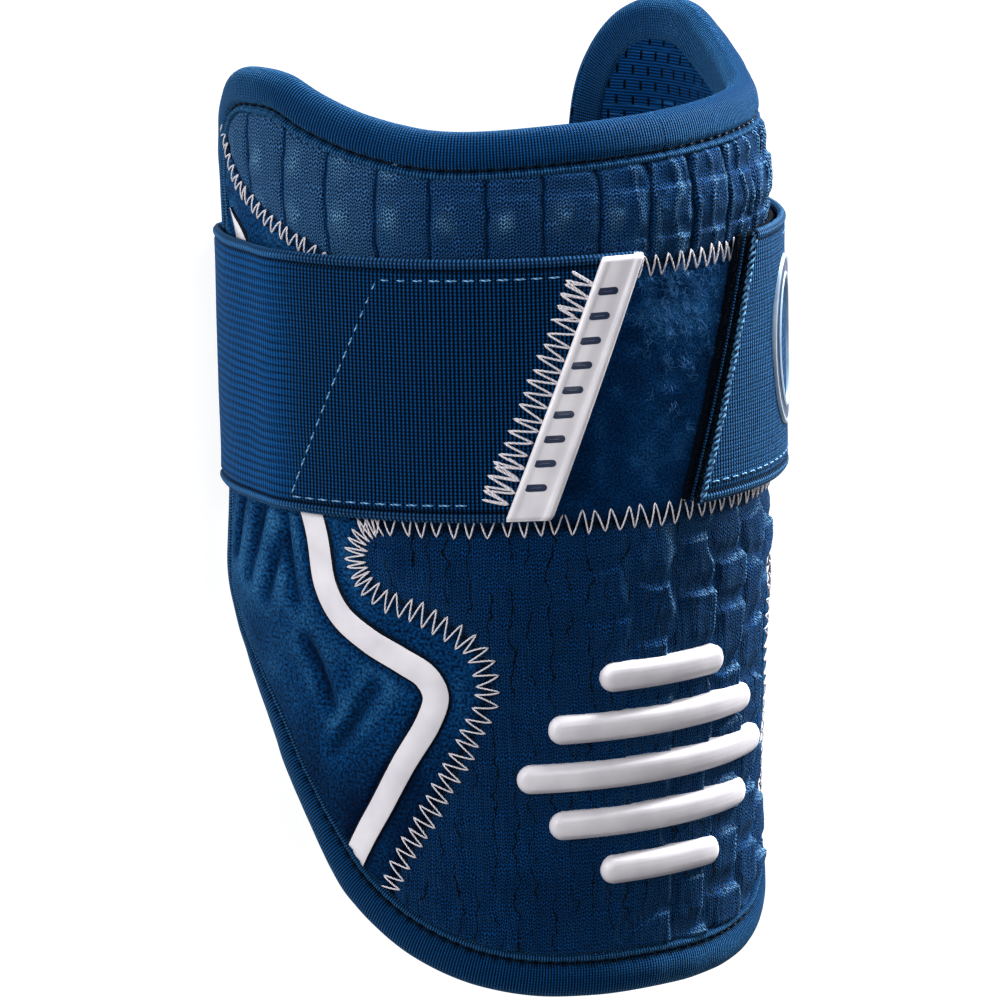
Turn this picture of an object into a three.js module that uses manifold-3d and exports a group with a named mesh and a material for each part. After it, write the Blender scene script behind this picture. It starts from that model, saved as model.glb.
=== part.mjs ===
// Baseball elbow guard: a padded half sleeve with a bound edge, closed by a wide elastic strap.
// Millimetres. The guard lies on its back: the arm runs along Y, the front of the elbow faces +Z.
// A point of the sleeve is given by its angle from the front centre, its height along the arm
// from the strap's centre line, and its depth under the padded surface.
import * as THREE from 'three';
import { mergeVertices } from 'three/addons/utils/BufferGeometryUtils.js';
import Module from 'manifold-3d';

const wasm = await Module();
wasm.setup();

// Sleeve
const sleeveRadius = 59; // padded surface under the strap
const edgeAngle = 126; // degrees from the front centre to a back edge
const rimRise = 56; // front rim over the strap's centre line
const lobeRise = 68; // side lobes over the strap's centre line
const tongueDrop = 136; // tip of the lower tongue under the strap's centre line
const rimLean = 2.4; // how much the right lobe stands higher than the middle
const tongueTurn = -6; // degrees that the tongue's tip sits round from the front centre

// Wall
const padThickness = 4.8;
const liningThickness = 1.6;
const clearance = 0.3; // between the edges of pieces that touch
const layerGap = 0.7; // between curved layers that lie on each other
const bindingThickness = 0.9;
const bindingWidth = 9;
const bindingSlack = 1.2; // between the lining and the binding's inner leg
const edgeInset = 1.5; // from the rolled edge to the cut edge of the wall
const seamDip = 0.8; // how far a pad sinks at its seams
const channelPitch = 12.3; // sewn channels of the upper pad
const channelDepth = 0.7;

// Panels
const loopPanelTop = 24.6; // over the strap's centre line
const loopPanelBottom = 30.4; // under the strap's centre line
const loopPanelAngle = 71.8; // degrees from the front centre to its side edges

// Strap
const strapWidth = 57;
const strapThickness = 1.6;
const hookThickness = 1;
const strapPass = 1.9; // from the sleeve's back edges to the strap's flat outer face
const strapCornerRadius = 7;
const strapSelvage = 0.45; // how much thinner each side is at the woven edge

// Trim
const tabWidth = 9;
const tabThickness = 1.3;
const tabLipWidth = 5;
const stripeWidth = 5.6;
const stripeThickness = 0.8;
const stripeGroove = 1.5;
const barHeight = 6.4;
const barPitch = 10.8;
const barRaise = 2.2;
const emblemHeight = -86.5; // centre of the emblem, from the strap's centre line
const emblemAngle = -2;
const badgeAngle = 43;
const badgeHeight = 1;
const badgeWidth = 24;
const badgeLength = 38;
const badgeBand = 5;
const badgeThickness = 0.6;

const degree = Math.PI / 180;
const mmPerDegree = sleeveRadius * degree;
const strapHalf = strapWidth / 2;
const liningDepth = padThickness + layerGap;
const wallDepth = liningDepth + liningThickness;
const backShare = 1.036; // of sleeveRadius, at the back edges under the strap
const strapBack = strapPass - sleeveRadius * backShare * Math.cos(edgeAngle * degree);
const flangeDepth = bindingThickness + layerGap;

// Cross-sections of the sleeve. at: share of the way from the strap's edge to the lobes' top or the
// tongue's tip; front and back: shares of sleeveRadius.
const upperSections = [
  { at: 0, front: 1, back: backShare },
  { at: 0.14, front: 1.022, back: 1.038 },
  { at: 0.42, front: 1, back: 1.045 },
  { at: 0.66, front: 0.962, back: 1.05 },
  { at: 1, front: 0.955, back: 1.04 },
];
const lowerSections = [
  { at: 0, front: 1, back: backShare },
  { at: 0.2, front: 0.997, back: 1.06 },
  { at: 0.42, front: 0.98, back: 0.985 },
  { at: 0.66, front: 0.948, back: 0.96 },
  { at: 1, front: 0.958, back: 0.96 },
];

// Half outline of the sleeve. angle: share of edgeAngle from the centre; rim, lobe and drop: shares
// of rimRise, lobeRise and tongueDrop.
const upperOutline = [
  { angle: 0, rim: 1, lobe: 0 },
  { angle: 0.194, rim: 1, lobe: 0 },
  { angle: 0.387, rim: 1, lobe: 0 },
  { angle: 0.476, rim: 0.88, lobe: 0.12 },
  { angle: 0.564, rim: 0.66, lobe: 0.34 },
  { angle: 0.644, rim: 0.37, lobe: 0.63 },
  { angle: 0.721, rim: 0.05, lobe: 0.95 },
  { angle: 0.789, rim: 0, lobe: 1 },
  { angle: 0.85, rim: 0, lobe: 0.985 },
  { angle: 0.905, rim: 0, lobe: 0.93 },
  { angle: 0.95, rim: 0, lobe: 0.83 },
  { angle: 0.985, rim: 0, lobe: 0.66 },
];
const lowerOutline = [
  { angle: 1, drop: 0.1 },
  { angle: 1, drop: 0.33 },
  { angle: 0.985, drop: 0.42 },
  { angle: 0.945, drop: 0.49 },
  { angle: 0.89, drop: 0.543 },
  { angle: 0.83, drop: 0.598 },
  { angle: 0.755, drop: 0.675 },
  { angle: 0.668, drop: 0.765 },
  { angle: 0.586, drop: 0.848 },
  { angle: 0.503, drop: 0.905 },
  { angle: 0.426, drop: 0.943 },
  { angle: 0.334, drop: 0.974 },
  { angle: 0.232, drop: 0.993 },
  { angle: 0.116, drop: 1 },
  { angle: 0, drop: 1 },
];

// Seam between a side pad and its neighbours. at: share of the way from the loop panel to the lobes'
// top or the tongue's tip; angle: share of edgeAngle, from the tongue's own middle.
const upperSeam = [
  { at: 0, angle: 0.569 },
  { at: 0.04, angle: 0.61 },
  { at: 0.1, angle: 0.651 },
  { at: 0.15, angle: 0.695 },
  { at: 0.22, angle: 0.747 },
  { at: 0.29, angle: 0.792 },
  { at: 0.34, angle: 0.831 },
  { at: 0.43, angle: 0.867 },
  { at: 0.56, angle: 0.9 },
  { at: 0.8, angle: 0.949 },
];
const lowerSeam = [
  { at: 0, angle: 0.569 },
  { at: 0.06, angle: 0.568 },
  { at: 0.11, angle: 0.56 },
  { at: 0.148, angle: 0.528 },
  { at: 0.171, angle: 0.476 },
  { at: 0.203, angle: 0.416 },
  { at: 0.25, angle: 0.363 },
  { at: 0.3, angle: 0.344 },
  { at: 0.352, angle: 0.339 },
  { at: 0.428, angle: 0.358 },
  { at: 0.519, angle: 0.388 },
  { at: 0.64, angle: 0.432 },
  { at: 0.734, angle: 0.473 },
  { at: 0.85, angle: 0.503 },
  { at: 1.03, angle: 0.533 },
];

// Centre line of the side stripe. height: share of tongueDrop over the strap's centre line; angle:
// share of edgeAngle, from the tongue's own middle.
const stripeLine = [
  { height: 0.25, angle: 0.865 },
  { height: 0.208, angle: 0.819 },
  { height: 0.11, angle: 0.77 },
  { height: -0.06, angle: 0.707 },
  { height: -0.2375, angle: 0.651 },
  { height: -0.331, angle: 0.631 },
  { height: -0.378, angle: 0.602 },
  { height: -0.416, angle: 0.55 },
  { height: -0.448, angle: 0.487 },
  { height: -0.475, angle: 0.448 },
  { height: -0.506, angle: 0.436 },
  { height: -0.541, angle: 0.442 },
  { height: -0.611, angle: 0.479 },
  { height: -0.689, angle: 0.516 },
  { height: -0.736, angle: 0.542 },
];

// Pressed dents of a side pad. from and to: angle as a share of edgeAngle, height as a share of
// tongueDrop; width: share of dentWidth.
const dentWidth = 4.4;
const dentDepth = 1.3;
const sideDents = [
  { fromAngle: 0.844, fromDrop: 0.16, toAngle: 0.9, toDrop: 0.315, width: 0.9 },
  { fromAngle: 0.765, fromDrop: 0.16, toAngle: 0.835, toDrop: 0.34, width: 1 },
  { fromAngle: 0.736, fromDrop: 0.27, toAngle: 0.775, toDrop: 0.365, width: 0.85 },
  { fromAngle: 0.744, fromDrop: 0.16, toAngle: 0.699, toDrop: 0.36, width: 0.8 },
  { fromAngle: 0.678, fromDrop: 0.43, toAngle: 0.634, toDrop: 0.53, width: 1 },
  { fromAngle: 0.542, fromDrop: 0.49, toAngle: 0.62, toDrop: 0.6, width: 1 },
];

// Emblem bars, top to bottom: length as a share of emblemLength.
const emblemLength = 72;
const emblemBars = [0.47, 0.8, 1, 0.8, 0.47];

function mix(a, b, share) {
  return a + (b - a) * share;
}

function smooth(low, high, value) {
  const share = Math.min(1, Math.max(0, (value - low) / (high - low)));
  return share * share * (3 - 2 * share);
}

// Value of a table's column at a key, straight between rows and level past its ends.
function readTable(rows, key, column, value) {
  if (value <= rows[0][key]) return rows[0][column];
  for (let i = 1; i < rows.length; i++) {
    if (value > rows[i][key]) continue;
    const share = (value - rows[i - 1][key]) / (rows[i][key] - rows[i - 1][key]);
    return mix(rows[i - 1][column], rows[i][column], share);
  }
  return rows[rows.length - 1][column];
}

function sectionRadius(height, column) {
  if (height >= 0) {
    const at = (height - strapHalf) / (lobeRise - strapHalf);
    return sleeveRadius * readTable(upperSections, 'at', column, at);
  }
  const at = (-height - strapHalf) / (tongueDrop - strapHalf);
  return sleeveRadius * readTable(lowerSections, 'at', column, at);
}

const frontReach = 60; // degrees from the front centre up to which the front section holds
const backStart = 110; // degrees from which the back section holds
function sleeveSurface(angle, height) {
  const towardsBack = smooth(frontReach, backStart, Math.abs(angle));
  return mix(sectionRadius(height, 'front'), sectionRadius(height, 'back'), towardsBack);
}

// Place in the part's frame of a point at an angle, a radius from the arm's axis and a height.
const middleHeight = (lobeRise + rimLean - tongueDrop) / 2;
function place(angle, radius, height) {
  const x = radius * Math.sin(angle * degree);
  const z = strapBack + radius * Math.cos(angle * degree);
  return [x, height - middleHeight, z];
}

function sleevePoint(angle, height, depth) {
  return place(angle, sleeveSurface(angle, height) - depth, height);
}

function upperOutlineHeight(row) {
  return row.rim * rimRise + row.lobe * lobeRise;
}

// Turn of the seams and stripes at a height, the same on both sides.
function turnAt(height) {
  return tongueTurn * smooth(0.45, 0.85, -height / tongueDrop);
}

// The tongue's outline turns with them, and the turn fades out towards the back edges.
function turned(angle) {
  return angle + tongueTurn * (1 - smooth(0.6 * edgeAngle, 0.97 * edgeAngle, Math.abs(angle)));
}

function leaned(angle, height) {
  return height + rimLean * Math.sin(angle * degree);
}

function halfOutline(side) {
  const points = [];
  for (const row of upperOutline) {
    const angle = side * row.angle * edgeAngle;
    points.push([angle, leaned(angle, upperOutlineHeight(row))]);
  }
  for (const row of lowerOutline) {
    const angle = turned(side * row.angle * edgeAngle);
    points.push([angle, -row.drop * tongueDrop]);
  }
  return points;
}

function curveThrough(points, closed) {
  const vectors = points.map(([angle, height]) => {
    return new THREE.Vector3(angle * mmPerDegree, height, 0);
  });
  return new THREE.CatmullRomCurve3(vectors, closed, 'centripetal');
}

// Closed outline in the unrolled sleeve, from the rim's middle round by the right side.
function outlineCurve() {
  const right = halfOutline(1);
  const left = halfOutline(-1).slice(1, -1).reverse();
  return curveThrough([...right, ...left], true);
}

// Lowest and highest height of the outline at an angle, a little past it on both sides. Beyond
// the corners the heights of the corners hold.
const trimMargin = 8;
const cornerShare = 0.97;
function outlineHeights(angle) {
  const side = Math.sign(angle) || 1;
  const share = Math.min(cornerShare, Math.abs(angle) / edgeAngle);
  const top = upperOutline.map((row) => ({ at: row.angle, height: upperOutlineHeight(row) }));
  const bottom = lowerOutline.map((row) => {
    return { at: side * turned(side * row.angle * edgeAngle), height: -row.drop * tongueDrop };
  });
  bottom.reverse();
  return {
    top: leaned(angle, readTable(top, 'at', 'height', share)) + trimMargin,
    bottom: readTable(bottom, 'at', 'height', share * edgeAngle) - trimMargin,
  };
}

// Heights at which the sleeve's cross-section is given, from the tongue to the lobes.
function sectionHeights() {
  const lower = lowerSections.map((row) => -strapHalf - row.at * (tongueDrop - strapHalf));
  const upper = upperSections.map((row) => strapHalf + row.at * (lobeRise - strapHalf));
  return [...lower.reverse(), ...upper];
}

// Heights of a column from low to high, through the given section heights that lie between.
function columnHeights(sections, low, high) {
  const step = 0.4;
  const count = sections.length + 1;
  const inside = sections.map((height, i) => {
    return Math.min(high - (count - i - 1) * step, Math.max(low + (i + 1) * step, height));
  });
  return [low, ...inside, high];
}

function signedVolume(positions, index) {
  const a = new THREE.Vector3();
  const b = new THREE.Vector3();
  const c = new THREE.Vector3();
  let volume = 0;
  for (let i = 0; i < index.length; i += 3) {
    a.fromArray(positions, index[i] * 3);
    b.fromArray(positions, index[i + 1] * 3);
    c.fromArray(positions, index[i + 2] * 3);
    volume += a.dot(b.cross(c)) / 6;
  }
  return volume;
}

// Closed solid from a list of point rings, each with the same number of points in the same order.
// loop joins the last ring to the first; otherwise both end rings are capped with a strip between
// their halves, which suits a ring that runs along one side and back along the other.
function solidFromRings(rings, loop) {
  const count = rings[0].length;
  const positions = rings.flat(2);
  const index = [];
  const last = loop ? rings.length : rings.length - 1;
  for (let i = 0; i < last; i++) {
    const here = i * count;
    const next = ((i + 1) % rings.length) * count;
    for (let j = 0; j < count; j++) {
      const k = (j + 1) % count;
      index.push(here + j, here + k, next + k, here + j, next + k, next + j);
    }
  }
  if (!loop) {
    const end = (rings.length - 1) * count;
    for (let j = 0; j < count / 2 - 1; j++) {
      const back = count - 1 - j;
      index.push(j, back, j + 1, j + 1, back, back - 1);
      index.push(end + j, end + j + 1, end + back, end + j + 1, end + back - 1, end + back);
    }
  }
  if (signedVolume(positions, index) < 0) index.reverse();
  const geometry = new THREE.BufferGeometry();
  geometry.setAttribute('position', new THREE.Float32BufferAttribute(positions, 3));
  geometry.setIndex(index);
  return geometry;
}

// Wall between an outer and an inner skin, over rows of [angle, height] places.
// depths gives [outer, inner] depth at row i, column j and place.
function wallSolid(rows, depths) {
  const rings = rows.map((row, i) => {
    const outer = [];
    const inner = [];
    row.forEach(([angle, height], j) => {
      const [top, under] = depths(i, j, angle, height);
      outer.push(sleevePoint(angle, height, top));
      inner.push(sleevePoint(angle, height, under));
    });
    return [...outer, ...inner.reverse()];
  });
  return solidFromRings(rings, false);
}

function toManifold(geometry) {
  const bare = new THREE.BufferGeometry();
  bare.setAttribute('position', geometry.getAttribute('position'));
  bare.setIndex(geometry.getIndex());
  const merged = mergeVertices(bare, 1e-4);
  return new wasm.Manifold(
    new wasm.Mesh({
      numProp: 3,
      vertProperties: merged.getAttribute('position').array,
      triVerts: new Uint32Array(merged.getIndex().array),
    }),
  );
}

function fromManifold(solid) {
  const mesh = solid.getMesh();
  const geometry = new THREE.BufferGeometry();
  const positions = new Float32Array(mesh.numVert * 3);
  for (let i = 0; i < mesh.numVert; i++) {
    positions.set(mesh.vertProperties.subarray(i * mesh.numProp, i * mesh.numProp + 3), i * 3);
  }
  geometry.setAttribute('position', new THREE.BufferAttribute(positions, 3));
  geometry.setIndex(new THREE.BufferAttribute(mesh.triVerts, 1));
  return geometry;
}

function cut(geometry, cutters) {
  let solid = toManifold(geometry);
  for (const cutter of cutters) solid = solid.subtract(toManifold(cutter));
  return fromManifold(solid);
}

// Solid swept round the outline. profile: [inset from the edge, depth under the surface].
const outlineSections = 72;
function sweepOutline(profile) {
  const curve = outlineCurve();
  const rings = [];
  for (let i = 0; i < outlineSections; i++) {
    const share = i / outlineSections;
    const point = curve.getPointAt(share);
    const along = curve.getTangentAt(share);
    rings.push(
      profile.map(([inset, depth]) => {
        const angle = (point.x + along.y * inset) / mmPerDegree;
        return sleevePoint(angle, point.y - along.x * inset, depth);
      }),
    );
  }
  return solidFromRings(rings, true);
}

const outsideReach = 30;
const cutterReach = 4;

// Everything past the cut edge, and the rebate that the binding's outer leg lies in.
const padTrim = sweepOutline([
  [-outsideReach, -cutterReach],
  [bindingWidth + clearance, -cutterReach],
  [bindingWidth + clearance, flangeDepth],
  [edgeInset, flangeDepth],
  [edgeInset, wallDepth + cutterReach],
  [-outsideReach, wallDepth + cutterReach],
]);

const liningTrim = sweepOutline([
  [-outsideReach, 0],
  [edgeInset, 0],
  [edgeInset, wallDepth + cutterReach],
  [-outsideReach, wallDepth + cutterReach],
]);

function edgeBinding() {
  const inner = wallDepth + bindingSlack + bindingThickness;
  const slot = edgeInset - 0.8;
  const fold = 1.8;
  return sweepOutline([
    [bindingWidth, bindingThickness],
    [slot, bindingThickness],
    [slot, inner - bindingThickness],
    [bindingWidth, inner - bindingThickness],
    [bindingWidth, inner],
    [fold, inner],
    [-0.3, 0.73 * inner],
    [-0.3, 0.27 * inner],
    [fold, 0],
    [bindingWidth, 0],
  ]);
}

function lining() {
  const columns = 28;
  const reach = edgeAngle + 2.5;
  const rows = [];
  for (let j = 0; j <= columns; j++) {
    const angle = mix(-reach, reach, j / columns);
    const { top, bottom } = outlineHeights(angle);
    rows.push(columnHeights(sectionHeights(), bottom, top).map((height) => [angle, height]));
  }
  return cut(wallSolid(rows, () => [liningDepth, wallDepth]), [liningTrim]);
}

// Seam curve as places, moved sideways by half the clearance; towards 1 is away from the centre.
const lowerSamples = 12;
const upperSamples = 7;
function seamPlaces(table, start, span, samples, offset) {
  const curve = curveThrough(
    table.map((row) => [row.angle * edgeAngle, start + row.at * span]),
    false,
  );
  const side = Math.sign(span);
  const places = [];
  for (let i = 0; i <= samples; i++) {
    const point = curve.getPointAt(i / samples);
    const along = curve.getTangentAt(i / samples);
    const x = point.x + side * along.y * offset;
    const height = i === 0 ? start : point.y - side * along.x * offset;
    places.push([x / mmPerDegree, height]);
  }
  return places;
}

function lowerPlaces(table, samples, offset) {
  return seamPlaces(table, -loopPanelBottom, loopPanelBottom - tongueDrop, samples, offset);
}

function upperPlaces(table, samples, offset) {
  return seamPlaces(table, loopPanelTop, lobeRise - loopPanelTop, samples, offset);
}

function loopPanel() {
  const columns = 20;
  const half = clearance / 2;
  const reach = loopPanelAngle - half / mmPerDegree;
  const rows = [];
  for (const height of [-loopPanelBottom + half, -4, loopPanelTop - half]) {
    const row = [];
    for (let j = 0; j <= columns; j++) row.push([mix(-reach, reach, j / columns), height]);
    rows.push(row);
  }
  return wallSolid(rows, () => [0, padThickness]);
}

function upperFrontPad() {
  const half = clearance / 2;
  const seam = upperPlaces(upperSeam, upperSamples, -half);
  const floor = seam.map(([angle, height]) => ({ angle, height: height + half }));
  const step = channelPitch / 2 / mmPerDegree;
  const sections = sectionHeights().filter((height) => height > strapHalf + 1);
  const reach = seam[seam.length - 1][0];
  const count = Math.floor(reach / step);
  const rows = [];
  for (let j = -count; j <= count; j++) {
    const angle = j * step;
    const low = readTable(floor, 'angle', 'height', Math.abs(angle));
    const high = outlineHeights(angle).top;
    rows.push(columnHeights(sections, low, high).map((height) => [angle, height]));
  }
  return cut(
    wallSolid(rows, (j, i) => {
      const channel = (Math.abs(j - count) % 2) * channelDepth;
      return [i === 0 ? Math.max(channel, seamDip) : channel, padThickness];
    }),
    [padTrim],
  );
}

function lowerFrontPad() {
  const columns = 14;
  const half = clearance / 2;
  const seam = lowerPlaces(lowerSeam, lowerSamples, -half);
  const pull = 3 / mmPerDegree;
  const rows = withSections(seam).map(([angle, height], i) => {
    const level = i === 0 ? height - half : height;
    const inside = angle - pull;
    const row = [-angle];
    for (let j = 0; j <= columns - 2; j++) row.push(mix(-inside, inside, j / (columns - 2)));
    row.push(angle);
    return row.map((across) => [across + turnAt(level), level]);
  });
  return cut(
    wallSolid(rows, (i, j) => {
      const atSeam = i === 0 || j === 0 || j === columns;
      return [atSeam ? seamDip : 0, padThickness];
    }),
    [padTrim],
  );
}

// Strip or groove of one width along places, between two depths, stopping short of both ends.
function stripAlong(places, width, top, under, short) {
  const curve = curveThrough(places, false);
  const steps = places.length + 1;
  const ends = short / curve.getLength();
  const rings = [];
  for (let i = 0; i <= steps; i++) {
    const share = mix(ends, 1 - ends, i / steps);
    const point = curve.getPointAt(share);
    const along = curve.getTangentAt(share);
    const half = width / 2;
    const ring = [-1, 0, 1].map((side) => {
      const angle = (point.x - along.y * half * side) / mmPerDegree;
      return [angle, point.y + along.x * half * side];
    });
    rings.push([
      ...ring.map(([angle, height]) => sleevePoint(angle, height, top)),
      ...ring.reverse().map(([angle, height]) => sleevePoint(angle, height, under)),
    ]);
  }
  return solidFromRings(rings, false);
}

// Places of one side, with the turn of the tongue.
function onSide(places, side) {
  return places.map(([angle, height]) => [side * angle + turnAt(height), height]);
}

function stripePlaces(side) {
  const places = stripeLine.map((row) => [row.angle * edgeAngle, row.height * tongueDrop]);
  return onSide(places, side);
}

// Pressed dent: half an ellipse across, tapering at both ends.
function dentCutter(dent, side) {
  const rings = [];
  for (const [share, size] of [[0, 0.3], [0.3, 1], [0.7, 1], [1, 0.3]]) {
    const angle = mix(dent.fromAngle, dent.toAngle, share) * edgeAngle;
    const height = -mix(dent.fromDrop, dent.toDrop, share) * tongueDrop;
    const half = (dent.width * dentWidth * size) / 2 / mmPerDegree;
    const deep = dentDepth * size;
    const at = (across, depth) => sleevePoint(side * (angle + across * half), height, depth);
    rings.push([at(-1.3, -0.5), at(-0.6, deep * 0.75), at(0.6, deep * 0.75), at(1.3, -0.5)]);
  }
  return solidFromRings(rings, false);
}

// Adds a place wherever a cross-section's height falls well between two places, listed downwards.
function withSections(places) {
  const heights = sectionHeights().reverse();
  const apart = 1;
  const full = [places[0]];
  for (let i = 1; i < places.length; i++) {
    const [fromAngle, from] = places[i - 1];
    const [toAngle, to] = places[i];
    for (const height of heights) {
      if (height > from - apart || height < to + apart) continue;
      full.push([mix(fromAngle, toAngle, (from - height) / (from - to)), height]);
    }
    full.push(places[i]);
  }
  return full;
}

function sidePad(side) {
  const half = clearance / 2;
  const upper = upperPlaces(upperSeam, upperSamples, half).reverse();
  const lower = lowerPlaces(lowerSeam, lowerSamples, half);
  const beside = loopPanelAngle + half / mmPerDegree;
  const rim = [beside, loopPanelTop - half];
  const places = withSections([...upper.slice(0, -1), rim, ...lower]);
  const pull = 3 / mmPerDegree;
  const rows = places.map(([angle, height]) => {
    const edge = readTable(lowerOutline, 'drop', 'angle', -height / tongueDrop) * edgeAngle;
    const far = Math.max(angle + 3 * pull, Math.min(edge + trimMargin, edgeAngle + 3));
    const columns = [angle];
    for (let j = 0; j <= 7; j++) columns.push(mix(angle + pull, far, j / 7));
    return onSide(columns.map((column) => [column, height]), side);
  });
  const wall = wallSolid(rows, (i, j) => [i === 0 || j === 0 ? seamDip : 0, padThickness]);
  const width = stripeWidth + 2 * clearance;
  const groove = stripAlong(stripePlaces(side), width, -cutterReach, stripeGroove, 0);
  const dents = sideDents.map((dent) => dentCutter(dent, side));
  return cut(wall, [padTrim, groove, ...dents]);
}

function sideStripe(side) {
  const under = stripeGroove - layerGap;
  return stripAlong(stripePlaces(side), stripeWidth, under - stripeThickness, under, clearance);
}

// Radius of the strap's middle over the sleeve. On the loop panel it lies on the hook tape.
const strapLift = layerGap + strapThickness / 2;
const hookLift = layerGap + hookThickness;
const hookReach = 87; // degrees from the front centre that the hook tapes lift the strap
const hookFade = 14; // degrees over which the strap comes down again
function strapRadius(angle) {
  const overHook = 1 - smooth(hookReach, hookReach + hookFade, Math.abs(angle));
  return sleeveSurface(angle, 0) + strapLift + hookLift * overHook;
}

const cornerSteps = 5;

// Corner arc between the run round the sleeve and the straight run across the back: its centre and
// the angle at which it starts.
function strapCorner() {
  const wrap = sleeveSurface(edgeAngle, 0) + strapLift;
  const rise = strapBack - strapThickness / 2 - strapCornerRadius;
  const centre = Math.sqrt((wrap - strapCornerRadius) ** 2 - rise ** 2);
  return { rise, centre, meet: 180 - Math.atan2(centre, rise) / degree };
}

// Half plan of the strap as points [x, z] from the arm's axis: round the sleeve, over the corner arc
// and to the start of the straight run.
function strapPlan() {
  const { rise, centre, meet } = strapCorner();
  const half = [];
  for (let angle = 0; angle < meet - 1; angle += 2) {
    const radius = strapRadius(angle);
    half.push([radius * Math.sin(angle * degree), radius * Math.cos(angle * degree)]);
  }
  for (let i = 0; i <= cornerSteps; i++) {
    const angle = mix(meet, 180, i / cornerSteps) * degree;
    half.push([
      centre + strapCornerRadius * Math.sin(angle),
      -rise + strapCornerRadius * Math.cos(angle),
    ]);
  }
  return half;
}

// Walks the strap from the front centre round by the left side; length may be negative, which
// walks round by the right side from the front.
function walker() {
  const half = strapPlan();
  const left = half.map(([x, z]) => new THREE.Vector2(-x, z));
  const lengths = [0];
  for (let i = 1; i < left.length; i++) {
    lengths.push(lengths[i - 1] + left[i].distanceTo(left[i - 1]));
  }
  const flat = left[left.length - 1];
  const toFlat = lengths[lengths.length - 1];
  const whole = 2 * toFlat + 2 * Math.abs(flat.x);
  const alongSide = (length) => {
    let i = 1;
    while (i < left.length - 1 && lengths[i] < length) i++;
    const share = (length - lengths[i - 1]) / (lengths[i] - lengths[i - 1]);
    return {
      point: left[i - 1].clone().lerp(left[i], share),
      along: left[i].clone().sub(left[i - 1]).normalize(),
    };
  };
  const at = (length) => {
    const round = ((length % whole) + whole) % whole;
    if (round <= toFlat) return alongSide(round);
    if (round >= whole - toFlat) {
      const { point, along } = alongSide(whole - round);
      return { point: new THREE.Vector2(-point.x, point.y), along: new THREE.Vector2(along.x, -along.y) };
    }
    return {
      point: new THREE.Vector2(flat.x + (round - toFlat), flat.y),
      along: new THREE.Vector2(1, 0),
    };
  };
  const toCorner = lengths[lengths.length - 1 - cornerSteps];
  return { at, whole, toCorner, toFlat };
}

const strapWalk = walker();

// Point on the strap's course at a length, a height and a distance outwards from its middle.
function strapPoint(length, height, outwards) {
  const { point, along } = strapWalk.at(length);
  const x = point.x + along.y * outwards;
  const z = point.y - along.x * outwards;
  return [x, height - middleHeight, strapBack + z];
}

// Lengths along the strap of its slanted front ends, at the top and bottom edge. An angle is
// turned into a length at the strap's middle radius; the left side is positive.
const strapFrontRadius = strapRadius(0);
function frontLength(angle) {
  return -angle * degree * strapFrontRadius;
}
const leftEnd = { top: -9.5, bottom: -30 }; // degrees from the front centre
const rightEnd = { top: 24, bottom: 4 };
const hookShow = 3; // how far the right hook tape stands out past the webbing

function slant(end, height) {
  return frontLength(mix(end.bottom, end.top, (height + strapHalf) / strapWidth));
}

// Flat band along the strap's course between two lengths that may change with height.
function band(startAt, endAt, heights, steps, outer, inner) {
  const rings = [];
  for (const step of steps) {
    const ring = [];
    for (const [height, thin] of heights) {
      ring.push(strapPoint(mix(startAt(height), endAt(height), step), height, outer - thin));
    }
    for (const [height, thin] of [...heights].reverse()) {
      ring.push(strapPoint(mix(startAt(height), endAt(height), step), height, inner + thin));
    }
    rings.push(ring);
  }
  return solidFromRings(rings, false);
}

function evenSteps(count) {
  return Array.from({ length: count + 1 }, (unused, i) => i / count);
}

const sideSteps = 12;
function strap() {
  const half = strapThickness / 2;
  const edges = [
    [-strapHalf, strapSelvage],
    [-strapHalf + 1, 0],
    [-strapHalf / 3, 0],
    [strapHalf / 3, 0],
    [strapHalf - 1, 0],
    [strapHalf, strapSelvage],
  ];
  const tabStart = (height) => slant(leftEnd, height) + 1.5;
  const rightStop = (height) => strapWalk.whole + slant(rightEnd, height);
  // Steps crowd round the corners, and none falls inside the straight back run.
  const { whole, toCorner, toFlat } = strapWalk;
  const first = slant(leftEnd, 0) + 1.5;
  const last = whole + slant(rightEnd, 0);
  const lengths = [];
  for (let i = 0; i < sideSteps; i++) lengths.push(mix(first, toCorner, i / sideSteps));
  for (let i = 0; i <= cornerSteps; i++) lengths.push(mix(toCorner, toFlat, i / cornerSteps));
  for (let i = 0; i <= cornerSteps; i++) {
    lengths.push(whole - mix(toFlat, toCorner, i / cornerSteps));
  }
  for (let i = 1; i <= sideSteps; i++) lengths.push(mix(whole - toCorner, last, i / sideSteps));
  const steps = lengths.map((length) => (length - first) / (last - first));
  return straightBand(tabStart, rightStop, edges, steps, half);
}

// Band whose cross-sections are square to the strap except near its slanted ends.
const slantReach = 60;
function straightBand(startAt, endAt, edges, steps, half) {
  const start = startAt(0);
  const end = endAt(0);
  const rings = steps.map((step) => {
    const middle = mix(start, end, step);
    const nearStart = 1 - smooth(0, slantReach, middle - start);
    const nearEnd = 1 - smooth(0, slantReach, end - middle);
    const lengthAt = (height) => {
      return middle + nearStart * (startAt(height) - start) + nearEnd * (endAt(height) - end);
    };
    return [
      ...edges.map(([height, thin]) => strapPoint(lengthAt(height), height, half - thin)),
      ...[...edges].reverse().map(([height, thin]) => {
        return strapPoint(lengthAt(height), height, -half + thin);
      }),
    ];
  });
  return solidFromRings(rings, false);
}

const hookEdges = [
  [-strapHalf + 1, 0],
  [-strapHalf / 3, 0],
  [strapHalf / 3, 0],
  [strapHalf - 1, 0],
];
const hookOuter = -strapThickness / 2 - layerGap;
const hookInner = hookOuter - hookThickness;

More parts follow.
